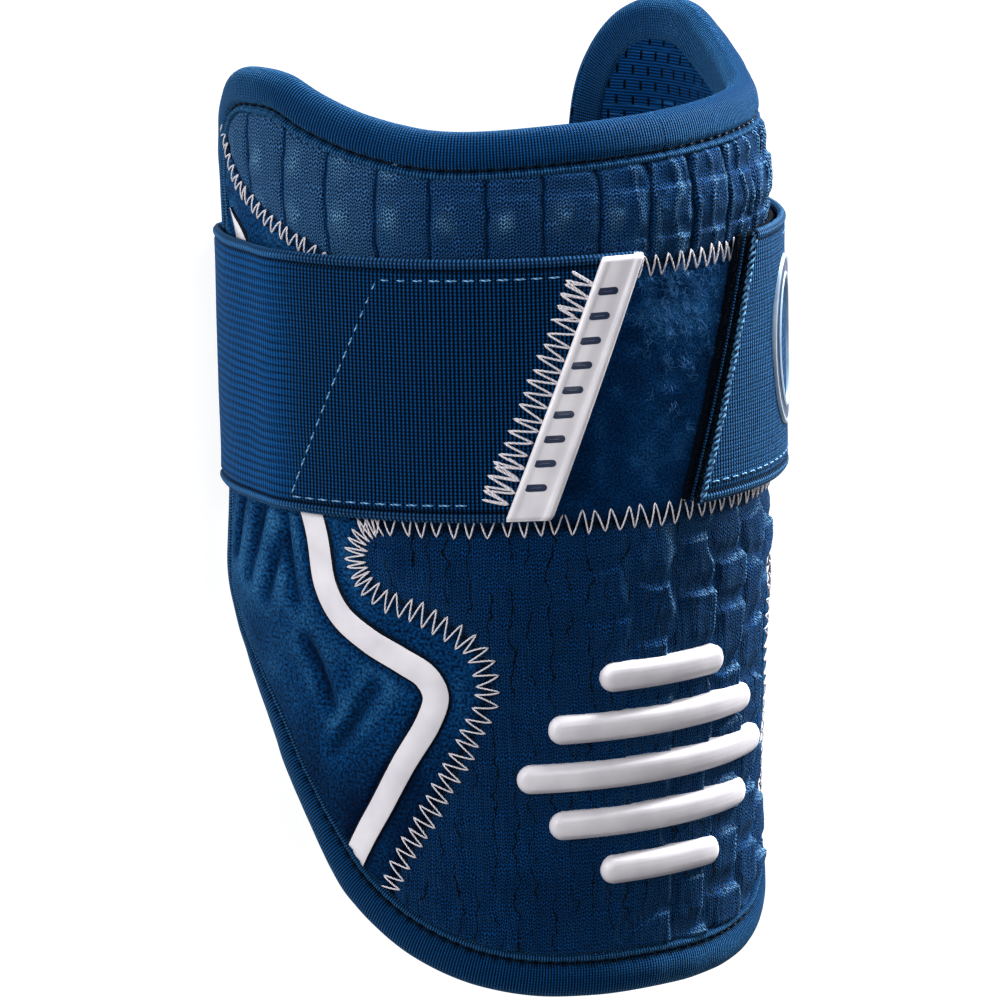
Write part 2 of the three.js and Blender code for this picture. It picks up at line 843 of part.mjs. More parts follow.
const leftHookEnd = { top: -60, bottom: -80 };
const rightHookEnd = { top: 60, bottom: 60 };
function hookTapeLeft() {
  const start = (height) => slant(leftEnd, height) + tabLipWidth + 2;
  const stop = (height) => slant(leftHookEnd, height);
  return band(start, stop, hookEdges, evenSteps(7), hookOuter, hookInner);
}

function hookTapeRight() {
  const start = (height) => slant(rightEnd, height) + hookShow;
  const stop = (height) => slant(rightHookEnd, height);
  return band(start, stop, hookEdges, evenSteps(7), hookOuter, hookInner);
}

// Moulded pull tab: a channel folded over the strap's slanted left end. Each row of the profile is
// an outer point and the inner point behind it, as inset from the end and distance outwards.
const tabNose = 1.2;
function tabProfile() {
  const face = strapThickness / 2 + layerGap;
  const under = -face - tabThickness * 0.7;
  return [
    [[tabWidth, face + tabThickness * 0.8], [tabWidth, face]],
    [[tabWidth - 1, face + tabThickness], [tabWidth - 1, face]],
    [[0.5, face + tabThickness], [tabNose, face]],
    [[-tabNose, face * 0.7], [tabNose, face * 0.5]],
    [[-tabNose, -face * 0.7], [tabNose, -face * 0.5]],
    [[-0.2, under], [tabNose, -face]],
    [[tabLipWidth, under], [tabLipWidth, -face]],
  ];
}

function pullTab() {
  const rows = tabProfile();
  const profile = [...rows.map((row) => row[0]), ...rows.map((row) => row[1]).reverse()];
  const sections = 5;
  const rings = [];
  for (let i = 0; i <= sections; i++) {
    const height = mix(-strapHalf + 0.5, strapHalf - 0.5, i / sections);
    rings.push(profile.map(([inset, out]) => strapPoint(slant(leftEnd, height) + inset, height, out)));
  }
  return solidFromRings(rings, false);
}

// Raised bar with rounded ends and bevelled sides on the lower pad.
function emblemBar(length, height) {
  const columns = 9;
  const endShare = barHeight / length;
  const rings = [];
  for (let i = 0; i <= columns; i++) {
    const across = Math.sin((mix(-1, 1, i / columns) * Math.PI) / 2);
    const fromEnd = Math.min(1, (1 - Math.abs(across)) / endShare);
    const tall = (barHeight / 2) * Math.max(0.42, Math.sqrt(fromEnd * (2 - fromEnd)));
    const raised = barRaise * (fromEnd < 0.01 ? 0.45 : 1);
    const angle = emblemAngle + ((across * length) / 2) / mmPerDegree;
    const at = (up, depth) => sleevePoint(angle, height + up, depth);
    rings.push([
      at(-tall, -0.9),
      at(-tall * 0.72, -raised),
      at(tall * 0.72, -raised),
      at(tall, -0.9),
      at(tall, -layerGap),
      at(-tall, -layerGap),
    ]);
  }
  return solidFromRings(rings, false);
}

// Flat oval ring on the strap's right end.
function strapBadge() {
  const centre = frontLength(badgeAngle);
  const inner = strapThickness / 2 + clearance;
  const outer = inner + badgeThickness;
  const sections = 20;
  const rings = [];
  for (let i = 0; i < sections; i++) {
    const turn = (i / sections) * 2 * Math.PI;
    const at = (shrink, out) => {
      const wide = badgeWidth / 2 - shrink;
      const tall = badgeLength / 2 - shrink;
      return strapPoint(centre + wide * Math.cos(turn), badgeHeight + tall * Math.sin(turn), out);
    };
    rings.push([at(0, inner), at(0, outer), at(badgeBand, outer), at(badgeBand, inner)]);
  }
  return solidFromRings(rings, true);
}

const materials = {
  lining: { color: 0x0d3a66, roughness: 0.9, metalness: 0 },
  knit: { color: 0x0a2f58, roughness: 0.85, metalness: 0 },
  brushed: { color: 0x1c4a72, roughness: 0.95, metalness: 0 },
  pile: { color: 0x06264b, roughness: 1, metalness: 0 },
  binding: { color: 0x123f6c, roughness: 0.8, metalness: 0 },
  webbing: { color: 0x0c3158, roughness: 0.8, metalness: 0 },
  hook: { color: 0x04101f, roughness: 0.7, metalness: 0 },
  rubber: { color: 0xe6e0e4, roughness: 0.45, metalness: 0 },
};

const guard = new THREE.Group();

function add(name, geometry, finish) {
  geometry.computeVertexNormals();
  const mesh = new THREE.Mesh(geometry, new THREE.MeshStandardMaterial(materials[finish]));
  mesh.name = name;
  guard.add(mesh);
}

add('lining', lining(), 'lining');
add('upper_front_pad', upperFrontPad(), 'knit');
add('lower_front_pad', lowerFrontPad(), 'knit');
add('loop_panel', loopPanel(), 'pile');
for (const [name, side] of [['left', -1], ['right', 1]]) {
  add(`side_pad_${name}`, sidePad(side), 'brushed');
  add(`side_stripe_${name}`, sideStripe(side), 'rubber');
}
add('edge_binding', edgeBinding(), 'binding');
add('strap', strap(), 'webbing');
add('hook_tape_left', hookTapeLeft(), 'hook');
add('hook_tape_right', hookTapeRight(), 'hook');
add('pull_tab', pullTab(), 'rubber');
emblemBars.forEach((share, i) => {
  const height = emblemHeight + (2 - i) * barPitch;
  add(`emblem_bar_${i + 1}`, emblemBar(share * emblemLength, height), 'rubber');
});
add('strap_badge', strapBadge(), 'rubber');

export default guard;
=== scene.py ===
import math

import bpy
import numpy as np
from mathutils import Matrix, Vector, kdtree


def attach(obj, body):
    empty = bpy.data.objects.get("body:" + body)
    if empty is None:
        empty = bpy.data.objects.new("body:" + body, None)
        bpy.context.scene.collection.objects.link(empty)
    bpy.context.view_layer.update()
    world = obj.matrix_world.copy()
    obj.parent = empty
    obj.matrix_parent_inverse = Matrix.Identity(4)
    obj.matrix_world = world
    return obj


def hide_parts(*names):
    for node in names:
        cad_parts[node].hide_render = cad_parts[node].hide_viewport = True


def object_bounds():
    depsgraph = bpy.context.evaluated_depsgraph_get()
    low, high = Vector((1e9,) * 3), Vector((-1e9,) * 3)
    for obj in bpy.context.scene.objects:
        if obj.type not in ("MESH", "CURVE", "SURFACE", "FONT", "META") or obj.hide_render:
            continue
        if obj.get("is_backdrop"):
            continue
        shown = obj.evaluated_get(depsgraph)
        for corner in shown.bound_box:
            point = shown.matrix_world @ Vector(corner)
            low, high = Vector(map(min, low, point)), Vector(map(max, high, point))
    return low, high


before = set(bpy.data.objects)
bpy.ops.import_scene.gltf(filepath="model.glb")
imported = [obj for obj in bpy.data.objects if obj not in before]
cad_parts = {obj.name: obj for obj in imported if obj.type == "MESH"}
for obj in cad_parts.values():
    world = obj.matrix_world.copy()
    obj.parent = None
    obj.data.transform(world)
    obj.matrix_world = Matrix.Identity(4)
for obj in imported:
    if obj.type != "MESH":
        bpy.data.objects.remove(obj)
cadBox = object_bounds()
degree = math.pi / 180
milli = 0.001
print("frame loaded")

# Pattern places are (x, h) in mm: x is the arc from the front centre, h the height along the arm
# from the strap's centre line. Depth is in mm under the padded surface.
sleeve = {
    "radius": 59.0,
    "edgeAngle": 126.0,     # degrees from the front centre to a back edge
    "rimRise": 56.0,
    "lobeRise": 68.0,
    "tongueDrop": 136.0,
    "rimLean": 2.4,
    "tongueTurn": -6.0,
    "frontReach": 60.0,
    "backStart": 110.0,
    "backShare": 1.036,
    "strapPass": 1.9,
    "strapHalf": 28.5,
    "soften": 4.0,          # mm over which the cross-sections blend
}
# Rows of (share of the way from the strap's edge to the end, radius share at the front, at the back)
upperSections = np.array([
    [0, 1, 1.036], [0.14, 1.022, 1.038], [0.42, 1, 1.045], [0.66, 0.962, 1.05], [1, 0.955, 1.04]])
lowerSections = np.array([
    [0, 1, 1.036], [0.2, 0.997, 1.06], [0.42, 0.98, 0.985], [0.66, 0.948, 0.96], [1, 0.958, 0.96]])
mmPerDegree = sleeve["radius"] * degree
edgeReach = sleeve["edgeAngle"] * mmPerDegree   # mm from the front centre to a back edge
axisHeight = sleeve["strapPass"] - sleeve["radius"] * sleeve["backShare"] * math.cos(
    sleeve["edgeAngle"] * degree)
middleHeight = (sleeve["lobeRise"] + sleeve["rimLean"] - sleeve["tongueDrop"]) / 2


def smoothStep(low, high, value):
    share = np.clip((value - low) / (high - low), 0, 1)
    return share * share * (3 - 2 * share)


def bell(distance, width):
    return np.exp(-(distance / width) ** 2)


# Distances along a line of points, from 0
def runOf(line):
    return np.concatenate([[0], np.cumsum(np.linalg.norm(np.diff(line, axis=0), axis=1))])


def unit(vectors):
    return vectors / (np.linalg.norm(vectors, axis=-1, keepdims=True) + 1e-12)


sampling = {"from": -190.0, "to": 110.0, "step": 0.5, "blurSteps": 40, "blurShare": 1.4}


# The sleeve's radius over h, from one column of the section tables, softened where sections meet
def sectionLine(column):
    heights = np.arange(sampling["from"], sampling["to"], sampling["step"])
    up = (heights - sleeve["strapHalf"]) / (sleeve["lobeRise"] - sleeve["strapHalf"])
    down = (-heights - sleeve["strapHalf"]) / (sleeve["tongueDrop"] - sleeve["strapHalf"])
    shares = np.where(heights >= 0, np.interp(up, upperSections[:, 0], upperSections[:, column]),
                      np.interp(down, lowerSections[:, 0], lowerSections[:, column]))
    steps = sampling["blurSteps"]
    kernel = bell(np.arange(-steps, steps + 1) * sampling["step"], sleeve["soften"] * sampling["blurShare"])
    padded = np.pad(shares, steps, mode="edge")
    return heights, sleeve["radius"] * np.convolve(padded, kernel / kernel.sum(), "valid")


frontLine = sectionLine(1)
backLine = sectionLine(2)


def surfaceRadius(x, h):
    back = smoothStep(sleeve["frontReach"], sleeve["backStart"], np.abs(x) / mmPerDegree)
    return np.interp(h, *frontLine) * (1 - back) + np.interp(h, *backLine) * back


# Place in metres of pattern points
def place(x, h, depth):
    angle = x / mmPerDegree * degree
    radius = surfaceRadius(x, h) - depth
    across, up = radius * np.sin(angle), axisHeight + radius * np.cos(angle)
    return np.stack([across, h - middleHeight + 0 * angle, up], -1) * milli


# Smooth curve through points, sampled evenly
def smoothCurve(points, closed, spacing):
    p = np.asarray(points, float)
    ends = [p[-1:], p, p[:2]] if closed else [2 * p[:1] - p[1:2], p, 2 * p[-1:] - p[-2:-1]]
    p = np.vstack(ends)
    t = np.linspace(0, 1, 40, endpoint=False)[:, None]   # 40 steps from point to point
    parts = []
    for a, b, c, d in zip(p[:-3], p[1:-2], p[2:-1], p[3:]):
        ab, bc, cd = (max(np.linalg.norm(v), 1e-6) ** 0.5 for v in (b - a, c - b, d - c))
        into = ((b - a) / ab - (c - a) / (ab + bc) + (c - b) / bc) * bc
        out = ((c - b) / bc - (d - b) / (bc + cd) + (d - c) / cd) * bc
        parts.append(b + into * t + (3 * (c - b) - 2 * into - out) * t ** 2
                     + (2 * (b - c) + into + out) * t ** 3)
    line = np.vstack(parts + [p[1:2] if closed else p[-2:-1]])
    lengths = runOf(line)
    count = max(int(lengths[-1] / spacing), 4)
    along = np.linspace(0, lengths[-1], count + 1)
    if closed:
        along = along[:-1]
    return np.stack([np.interp(along, lengths, line[:, k]) for k in (0, 1)], -1)


def turnAt(h):
    return sleeve["tongueTurn"] * smoothStep(0.45, 0.85, -h / sleeve["tongueDrop"])


# Upper half as (share of edgeAngle, share of rimRise, share of lobeRise), lower as (edgeAngle, tongueDrop)
upperOutline = [
    (0, 1, 0), (0.194, 1, 0), (0.387, 1, 0), (0.476, 0.88, 0.12), (0.564, 0.66, 0.34),
    (0.644, 0.37, 0.63), (0.721, 0.05, 0.95), (0.789, 0, 1), (0.85, 0, 0.985), (0.905, 0, 0.93),
    (0.95, 0, 0.83), (0.985, 0, 0.66)]
lowerOutline = [
    (1, 0.1), (1, 0.33), (0.985, 0.42), (0.945, 0.49), (0.89, 0.543), (0.83, 0.598),
    (0.755, 0.675), (0.668, 0.765), (0.586, 0.848), (0.503, 0.905), (0.426, 0.943),
    (0.334, 0.974), (0.232, 0.993), (0.116, 1), (0, 1)]


def halfOutline(side):
    points = []
    for angle, rim, lobe in upperOutline:
        turn = side * angle * sleeve["edgeAngle"]
        lean = sleeve["rimLean"] * math.sin(turn * degree)
        points.append((turn * mmPerDegree, rim * sleeve["rimRise"] + lobe * sleeve["lobeRise"] + lean))
    for angle, drop in lowerOutline:
        turn = side * angle * sleeve["edgeAngle"]
        fade = 1 - smoothStep(0.6 * sleeve["edgeAngle"], 0.97 * sleeve["edgeAngle"], abs(turn))
        points.append(((turn + sleeve["tongueTurn"] * fade) * mmPerDegree, -drop * sleeve["tongueDrop"]))
    return points


outline = smoothCurve(halfOutline(1) + halfOutline(-1)[1:-1][::-1], True, 0.6)


# Distance of pattern points from a line of points
def distanceTo(line, x, h):
    tree = kdtree.KDTree(len(line))
    for i, (a, b) in enumerate(line):
        tree.insert((a, b, 0), i)
    tree.balance()
    gaps = [tree.find((a, b, 0))[2] for a, b in zip(np.ravel(x).tolist(), np.ravel(h).tolist())]
    return np.array(gaps).reshape(np.shape(x))


# Smooth seeded noise in mm, from -1 to 1
def softNoise(x, h, size, seed):
    grid = np.random.default_rng(seed).uniform(-1, 1, (256, 256))
    u, v = x / size + 90.5, h / size + 90.5
    i, j = np.floor(u).astype(int), np.floor(v).astype(int)
    a, b = u - i, v - j
    a, b = a * a * (3 - 2 * a), b * b * (3 - 2 * b)
    i, j = i % 255, j % 255
    return ((grid[i, j] * (1 - a) + grid[i + 1, j] * a) * (1 - b)
            + (grid[i, j + 1] * (1 - a) + grid[i + 1, j + 1] * a) * b)


# Mesh building
def newPiece(name, vertices, faces, uv, material, slotName, nodes=(), **marks):
    mesh = bpy.data.meshes.new(name)
    faces = np.asarray(faces)
    size = faces.shape[1]
    mesh.vertices.add(len(vertices))
    mesh.vertices.foreach_set("co", np.asarray(vertices, np.float32).ravel())
    mesh.loops.add(faces.size)
    mesh.loops.foreach_set("vertex_index", faces.ravel())
    mesh.polygons.add(len(faces))
    mesh.polygons.foreach_set("loop_start", np.arange(0, faces.size, size))
    mesh.polygons.foreach_set("loop_total", np.full(len(faces), size))
    layer = mesh.uv_layers.new(name="pattern")
    layer.data.foreach_set("uv", (np.asarray(uv, np.float32)[faces.ravel()] * 0.01).ravel())
    for mark, values in marks.items():   # such as the painted light and tone: painted highlight (1) where cloth stands out, painted shade (-1) where it is pressed in
        attribute = mesh.attributes.new(mark, "FLOAT", "POINT")
        attribute.data.foreach_set("value", np.ravel(values).astype(np.float32))
    mesh.update()
    mesh.validate()
    mesh.polygons.foreach_set("use_smooth", np.full(len(mesh.polygons), True))
    mesh.materials.append(material)
    piece = bpy.data.objects.new(name, mesh)
    bpy.context.scene.collection.objects.link(piece)
    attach(piece, "root")
    if nodes:
        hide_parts(*nodes)
    return piece


def asUv(u, v):
    return np.stack(np.broadcast_arrays(u, v), -1).reshape(-1, 2)


def gridFaces(rows, columns, closeRows=False, closeColumns=False, start=0):
    i = np.arange(rows if closeRows else rows - 1)[:, None]
    j = np.arange(columns if closeColumns else columns - 1)[None]
    k, m = (i + 1) % rows, (j + 1) % columns
    quads = [i * columns + j, k * columns + j, k * columns + m, i * columns + m]
    return np.stack([np.broadcast_to(q, (i.size, j.size)) for q in quads], -1).reshape(-1, 4) + start


# Padded skin over pattern grids, with its border turned in to the given depth
def skin(name, x, h, relief, crest, turnIn, material, slotName, nodes, ladder=None):
    ladder = 0 * x if ladder is None else ladder
    x, h, relief, crest, ladder = (np.pad(a, 1, mode="edge") for a in (x, h, relief, crest, ladder))
    depth = -relief
    depth[0], depth[-1], depth[:, 0], depth[:, -1] = turnIn, turnIn, turnIn, turnIn
    points = place(x, h, depth).reshape(-1, 3)
    faces = gridFaces(*x.shape)[:, ::-1]
    return newPiece(name, points, faces, asUv(x, h), material, slotName, nodes,
                    crest=np.clip(crest, -1, 1), ladder=ladder)


# Tubes along 3-D paths (metres), lying with the given up vectors and narrow at their ends
def tubes(paths, ups, radius, sides):
    vertices, faces, uv, start = [], [], [], 0
    ring = np.linspace(0, 2 * math.pi, sides, endpoint=False)[None, :, None]
    for path, up in zip(paths, ups):
        along = unit(np.gradient(path, axis=0))
        side = unit(np.cross(along, up))
        lift = np.cross(side, along)
        taper = np.ones(len(path))
        taper[[0, -1]] = 0.35
        circle = side[:, None] * np.cos(ring) + lift[:, None] * np.sin(ring)
        vertices.append((path[:, None] + circle * (radius * taper)[:, None, None]).reshape(-1, 3))
        uv.append(asUv(runOf(path)[:, None] / milli, np.arange(sides)[None] / sides * 2))
        faces.append(gridFaces(len(path), sides, closeColumns=True, start=start))
        start += len(path) * sides
    return np.vstack(vertices), np.vstack(faces), np.vstack(uv)


def threadPiece(name, paths, ups, radius, sides, material, slotName):
    newPiece(name, *tubes(paths, ups, radius * milli, sides), material, slotName)


# Faces of flat fibres, each a ladder of so many pairs of points
def fibreFaces(count, pairs):
    base = np.arange(count)[:, None] * 2 * pairs + np.arange(pairs - 1)[None] * 2
    return np.stack([base, base + 2, base + 3, base + 1], -1).reshape(-1, 4)


def outwards(x):
    angle = x / mmPerDegree * degree
    return np.stack([np.sin(angle), 0 * angle, np.cos(angle)], -1)


# Materials. A noise scale is in spots per mm of cloth, and a wave's is bandScale over its spacing in mm.
bandScale = math.pi / 10


def toLinear(hexColour):
    parts = [int(hexColour[i:i + 2], 16) / 255 for i in (1, 3, 5)]
    return [c / 12.92 if c <= 0.04045 else ((c + 0.055) / 1.055) ** 2.4 for c in parts] + [1.0]


def addNode(tree, kind, inputs=None, stops=(), **settings):
    node = tree.nodes.new(kind)
    for key, value in settings.items():
        setattr(node, key, value)
    for i, (position, tone) in enumerate(stops):
        element = node.color_ramp.elements[i] if i < 2 else node.color_ramp.elements.new(position)
        element.position, element.color = position, toLinear(tone)
    for key, value in (inputs or {}).items():
        if isinstance(value, bpy.types.Node):
            value = value.outputs.get("Fac") or value.outputs[0]
        if isinstance(value, bpy.types.NodeSocket):
            tree.links.new(value, node.inputs[key])
        else:
            node.inputs[key].default_value = value
    return node


def newFinish(name, roughness, specular=0.5, sheen=0.0, coat=0.0):
    material = bpy.data.materials.new(name)
    material.use_nodes = True
    tree = material.node_tree
    shader = tree.nodes["Principled BSDF"]
    for socket, value in (("Roughness", roughness), ("IOR", 1.5), ("Specular IOR Level", specular),
                          ("Sheen Weight", sheen), ("Sheen Roughness", 0.4),
                          ("Sheen Tint", toLinear("#6fb6ea")), ("Coat Weight", coat)):
        shader.inputs[socket].default_value = value
    pattern = addNode(tree, "ShaderNodeUVMap", uv_map="pattern")
    inMm = addNode(tree, "ShaderNodeMapping", {"Vector": pattern, "Scale": (100, 100, 1)})
    return material, tree, shader, inMm.outputs[0]


def finishWith(tree, shader, colour, height, depthMm):
    tree.links.new(colour, shader.inputs["Base Color"])
    bump = addNode(tree, "ShaderNodeBump",
                   {"Height": height, "Distance": depthMm * milli, "Strength": 1.0})
    tree.links.new(bump.outputs[0], shader.inputs["Normal"])


# Cloth colour from three pairs of tones: where it is level, darker as painted shade where it is pressed in,
# and paler as painted highlight where it stands out
def clothTones(tree, weave, level, shadedTones, litTones):
    crest = addNode(tree, "ShaderNodeAttribute", attribute_name="crest").outputs["Fac"]
    # how much of the painted shade to mix in
    sunk = addNode(tree, "ShaderNodeMath", {0: crest, 1: -1.0}, operation="MULTIPLY")
    level, shadedTones, litTones = (addNode(tree, "ShaderNodeValToRGB", {"Fac": weave}, stops=pair).outputs[0]
                             for pair in (level, shadedTones, litTones))
    cloth = addNode(tree, "ShaderNodeMix", {0: sunk, 6: level, 7: shadedTones}, data_type="RGBA").outputs[2]
    return addNode(tree, "ShaderNodeMix", {0: crest, 6: cloth, 7: litTones}, data_type="RGBA").outputs[2]


# Slanted stitches in columns, leaning left and right by turns
def chevrons(tree, mm, columnWidth, rowHeight, lean):
    bent = addNode(tree, "ShaderNodeTexNoise", {"Vector": mm, "Scale": 0.3, "Detail": 1.0})
    bent = bent.outputs["Color"]
    moved = addNode(tree, "ShaderNodeVectorMath", {0: bent, 1: (1.6, 1.6, 0)}, operation="MULTIPLY")
    spot = addNode(tree, "ShaderNodeVectorMath", {0: mm, 1: moved}, operation="ADD")
    parts = addNode(tree, "ShaderNodeSeparateXYZ", {"Vector": spot})
    across = addNode(tree, "ShaderNodeMath", {0: parts.outputs[0], 1: columnWidth / 2},
                     operation="PINGPONG")
    slanted = addNode(tree, "ShaderNodeMath", {0: across, 1: lean, 2: parts.outputs[1]},
                      operation="MULTIPLY_ADD")
    turned = addNode(tree, "ShaderNodeMath", {0: slanted, 1: 2 * math.pi / rowHeight},
                     operation="MULTIPLY")
    rows = addNode(tree, "ShaderNodeMath", {0: turned}, operation="SINE")
    turned = addNode(tree, "ShaderNodeMath", {0: parts.outputs[0], 1: 4 * math.pi / columnWidth},
                     operation="MULTIPLY")
    columns = addNode(tree, "ShaderNodeMath", {0: turned}, operation="SINE")
    half = addNode(tree, "ShaderNodeMath", {0: columns, 1: 0.2, 2: 0.5}, operation="MULTIPLY_ADD")
    return addNode(tree, "ShaderNodeMath", {0: rows, 1: 0.3, 2: half},
                   operation="MULTIPLY_ADD").outputs[0]


# Thin wavy lines where the knit has gapped along its columns, from 0 to 1
def ladders(tree, mm, pitch, halfWidth):
    bent = addNode(tree, "ShaderNodeTexNoise", {"Vector": mm, "Scale": 0.16, "Detail": 2.0})
    parts = addNode(tree, "ShaderNodeSeparateXYZ", {"Vector": mm})
    moved = addNode(tree, "ShaderNodeMath", {0: bent, 1: 7.0, 2: parts.outputs[0]},
                    operation="MULTIPLY_ADD")
    gap = addNode(tree, "ShaderNodeMath", {0: moved, 1: pitch / 2}, operation="PINGPONG")
    line = addNode(tree, "ShaderNodeMath", {0: gap, 1: halfWidth}, operation="LESS_THAN")
    longSpots = addNode(tree, "ShaderNodeMapping",
                        {"Vector": mm, "Location": (40, 9, 0), "Scale": (0.22, 0.09, 1)})
    shown = addNode(tree, "ShaderNodeTexNoise", {"Vector": longSpots, "Scale": 1.0, "Detail": 1.0})
    shown = addNode(tree, "ShaderNodeValToRGB", {"Fac": shown},
                    stops=[(0.44, "#000000"), (0.56, "#ffffff")]).outputs[0]
    amount = addNode(tree, "ShaderNodeAttribute", attribute_name="ladder").outputs["Fac"]
    line = addNode(tree, "ShaderNodeMath", {0: line, 1: shown}, operation="MULTIPLY")
    return addNode(tree, "ShaderNodeMath", {0: line, 1: amount}, operation="MULTIPLY").outputs[0]


# Warp-knit polyester: slanted loops in fine columns, matt, its fibres catching only grazing light
frontKnit, tree, shader, mm = newFinish("warpKnitPolyester", 0.65, specular=0.04, sheen=0.2)
stitches = chevrons(tree, mm, 1.15, 0.8, 0.9)
gaps = ladders(tree, mm, 4.4, 0.17)
weave = addNode(tree, "ShaderNodeMath", {0: gaps, 1: -0.8, 2: stitches},
                operation="MULTIPLY_ADD").outputs[0]
cloth = clothTones(tree, weave, [(0.15, "#00091f"), (0.95, "#0a5190")],
                   [(0.15, "#00030b"), (0.95, "#001736")], [(0.25, "#052c54"), (0.95, "#86b8da")])
# painted shade: the knit's gaps are painted near-black for the shade inside them
dark = addNode(tree, "ShaderNodeMix", {0: gaps, 6: cloth, 7: toLinear("#00040d")}, data_type="RGBA")
finishWith(tree, shader, dark.outputs[2], weave, 0.6)

# Brushed polyester: short raised nap, mottled; paler where the cloth stands up, as a painted highlight, and
# darker where it is pressed in, as painted shade
brushed, tree, shader, mm = newFinish("brushedPolyester", 0.8, specular=0.03, sheen=0.22)
nap = addNode(tree, "ShaderNodeTexNoise", {"Vector": mm, "Scale": 1.5, "Detail": 4.0})
cloth = clothTones(tree, nap, [(0.38, "#001733"), (0.66, "#0c4a7c")],
                   [(0.35, "#00081a"), (0.7, "#001c40")], [(0.35, "#0a3861"), (0.7, "#4482ad")])
finishWith(tree, shader, cloth, nap.outputs["Fac"], 0.3)

# Nylon loop pile: dense dark fuzz
loopPile, tree, shader, mm = newFinish("nylonLoopPile", 0.9, specular=0.03, sheen=0.12)
fuzz = addNode(tree, "ShaderNodeTexNoise", {"Vector": mm, "Scale": 2.0, "Detail": 4.0})
cloth = clothTones(tree, fuzz, [(0.38, "#021a3a"), (0.7, "#0a4474")],
                   [(0.35, "#000c22"), (0.7, "#032448")], [(0.38, "#0a3a68"), (0.7, "#3b7cab")])
finishWith(tree, shader, cloth, fuzz.outputs["Fac"], 0.3)

# Ribbed knit binding: fine cords across the tape
bindingKnit, tree, shader, mm = newFinish("ribKnitBinding", 0.6, specular=0.03, sheen=0.42)
cords = addNode(tree, "ShaderNodeTexWave", {"Vector": mm, "Scale": bandScale / 0.7, "Distortion": 0.35,
                                            "Detail": 1.0, "Detail Scale": 0.4}, bands_direction="X")
rows = addNode(tree, "ShaderNodeTexWave", {"Vector": mm, "Scale": bandScale / 0.6, "Distortion": 1.8,
                                           "Detail": 1.0, "Detail Scale": 1.0}, bands_direction="Y")
softer = addNode(tree, "ShaderNodeMath", {0: rows, 1: 0.45, 2: 0.55}, operation="MULTIPLY_ADD")
weave = addNode(tree, "ShaderNodeMath", {0: cords, 1: softer}, operation="MULTIPLY")
cloth = clothTones(tree, weave, [(0.05, "#00081c"), (0.95, "#085590")],
                   [(0.0, "#000208"), (1.0, "#00091a")], [(0.05, "#03264a"), (0.9, "#5f9cc6")])
finishWith(tree, shader, cloth, weave.outputs[0], 0.38)

# Woven elastic: cross ribs over rubber cores, its picks showing more where it is stretched
webbing, tree, shader, mm = newFinish("wovenElastic", 0.6, specular=0.03, sheen=0.15)
cross = addNode(tree, "ShaderNodeTexWave", {"Vector": mm, "Scale": bandScale / 0.92, "Distortion": 0.15,
                                            "Detail": 1.0, "Detail Scale": 0.3}, bands_direction="X")
picks = addNode(tree, "ShaderNodeTexWave", {"Vector": mm, "Scale": bandScale / 0.8, "Distortion": 0.5,
                                            "Detail": 1.0, "Detail Scale": 0.6}, bands_direction="Y")
softer = addNode(tree, "ShaderNodeMath", {0: picks, 1: 0.7, 2: 0.3}, operation="MULTIPLY_ADD")
facing = addNode(tree, "ShaderNodeMath", {0: cross, 1: softer}, operation="MULTIPLY")
courses = addNode(tree, "ShaderNodeTexWave", {"Vector": mm, "Scale": bandScale / 1.65, "Distortion": 2.4,
                                              "Detail": 1.0, "Detail Scale": 0.45}, bands_direction="Y")
softer = addNode(tree, "ShaderNodeMath", {0: cross, 1: 0.35, 2: 0.65}, operation="MULTIPLY_ADD")
shallow = addNode(tree, "ShaderNodeMath", {0: courses, 1: 0.65, 2: 0.35}, operation="MULTIPLY_ADD")
rounded = addNode(tree, "ShaderNodeMath", {0: shallow, 1: softer}, operation="MULTIPLY")
stretched = addNode(tree, "ShaderNodeAttribute", attribute_name="stretch").outputs["Fac"]
weave = addNode(tree, "ShaderNodeMix", {0: stretched, 2: facing.outputs[0], 3: rounded.outputs[0]},
                data_type="FLOAT").outputs[0]
cloth = clothTones(tree, weave, [(0.1, "#00030b"), (0.85, "#0b5c9c")],
                   [(0.0, "#000206"), (1.0, "#000a1c")], [(0.08, "#02234a"), (0.85, "#5a8aab")])
finishWith(tree, shader, cloth, weave, 0.6)

# Spun polyester thread, slightly silky, its plies showing as slanted bands; white, navy and pale blue
threads = {}
for colour, twistMm, tones in (
        ("white", 0.5, ("#b4b0b8", "#dedadf")), ("navy", 0.5, ("#000814", "#03152c")),
        ("paleBlue", 0.7, ("#2c6090", "#8fb9d6")), ("midBlue", 0.9, ("#06284c", "#6496ba"))):
    threads[colour], tree, shader, mm = newFinish(f"{colour}PolyesterThread", 0.55, specular=0.12)
    twist = addNode(tree, "ShaderNodeTexWave", {"Vector": mm, "Scale": bandScale / twistMm},
                    bands_direction="DIAGONAL")
    shade = addNode(tree, "ShaderNodeValToRGB", {"Fac": twist}, stops=[(0, tones[0]), (1, tones[1])])
    finishWith(tree, shader, shade.outputs[0], twist.outputs["Fac"], 0.08)
whiteThread, darkThread, paleThread, overlockThread = (
    threads[colour] for colour in ("white", "navy", "paleBlue", "midBlue"))

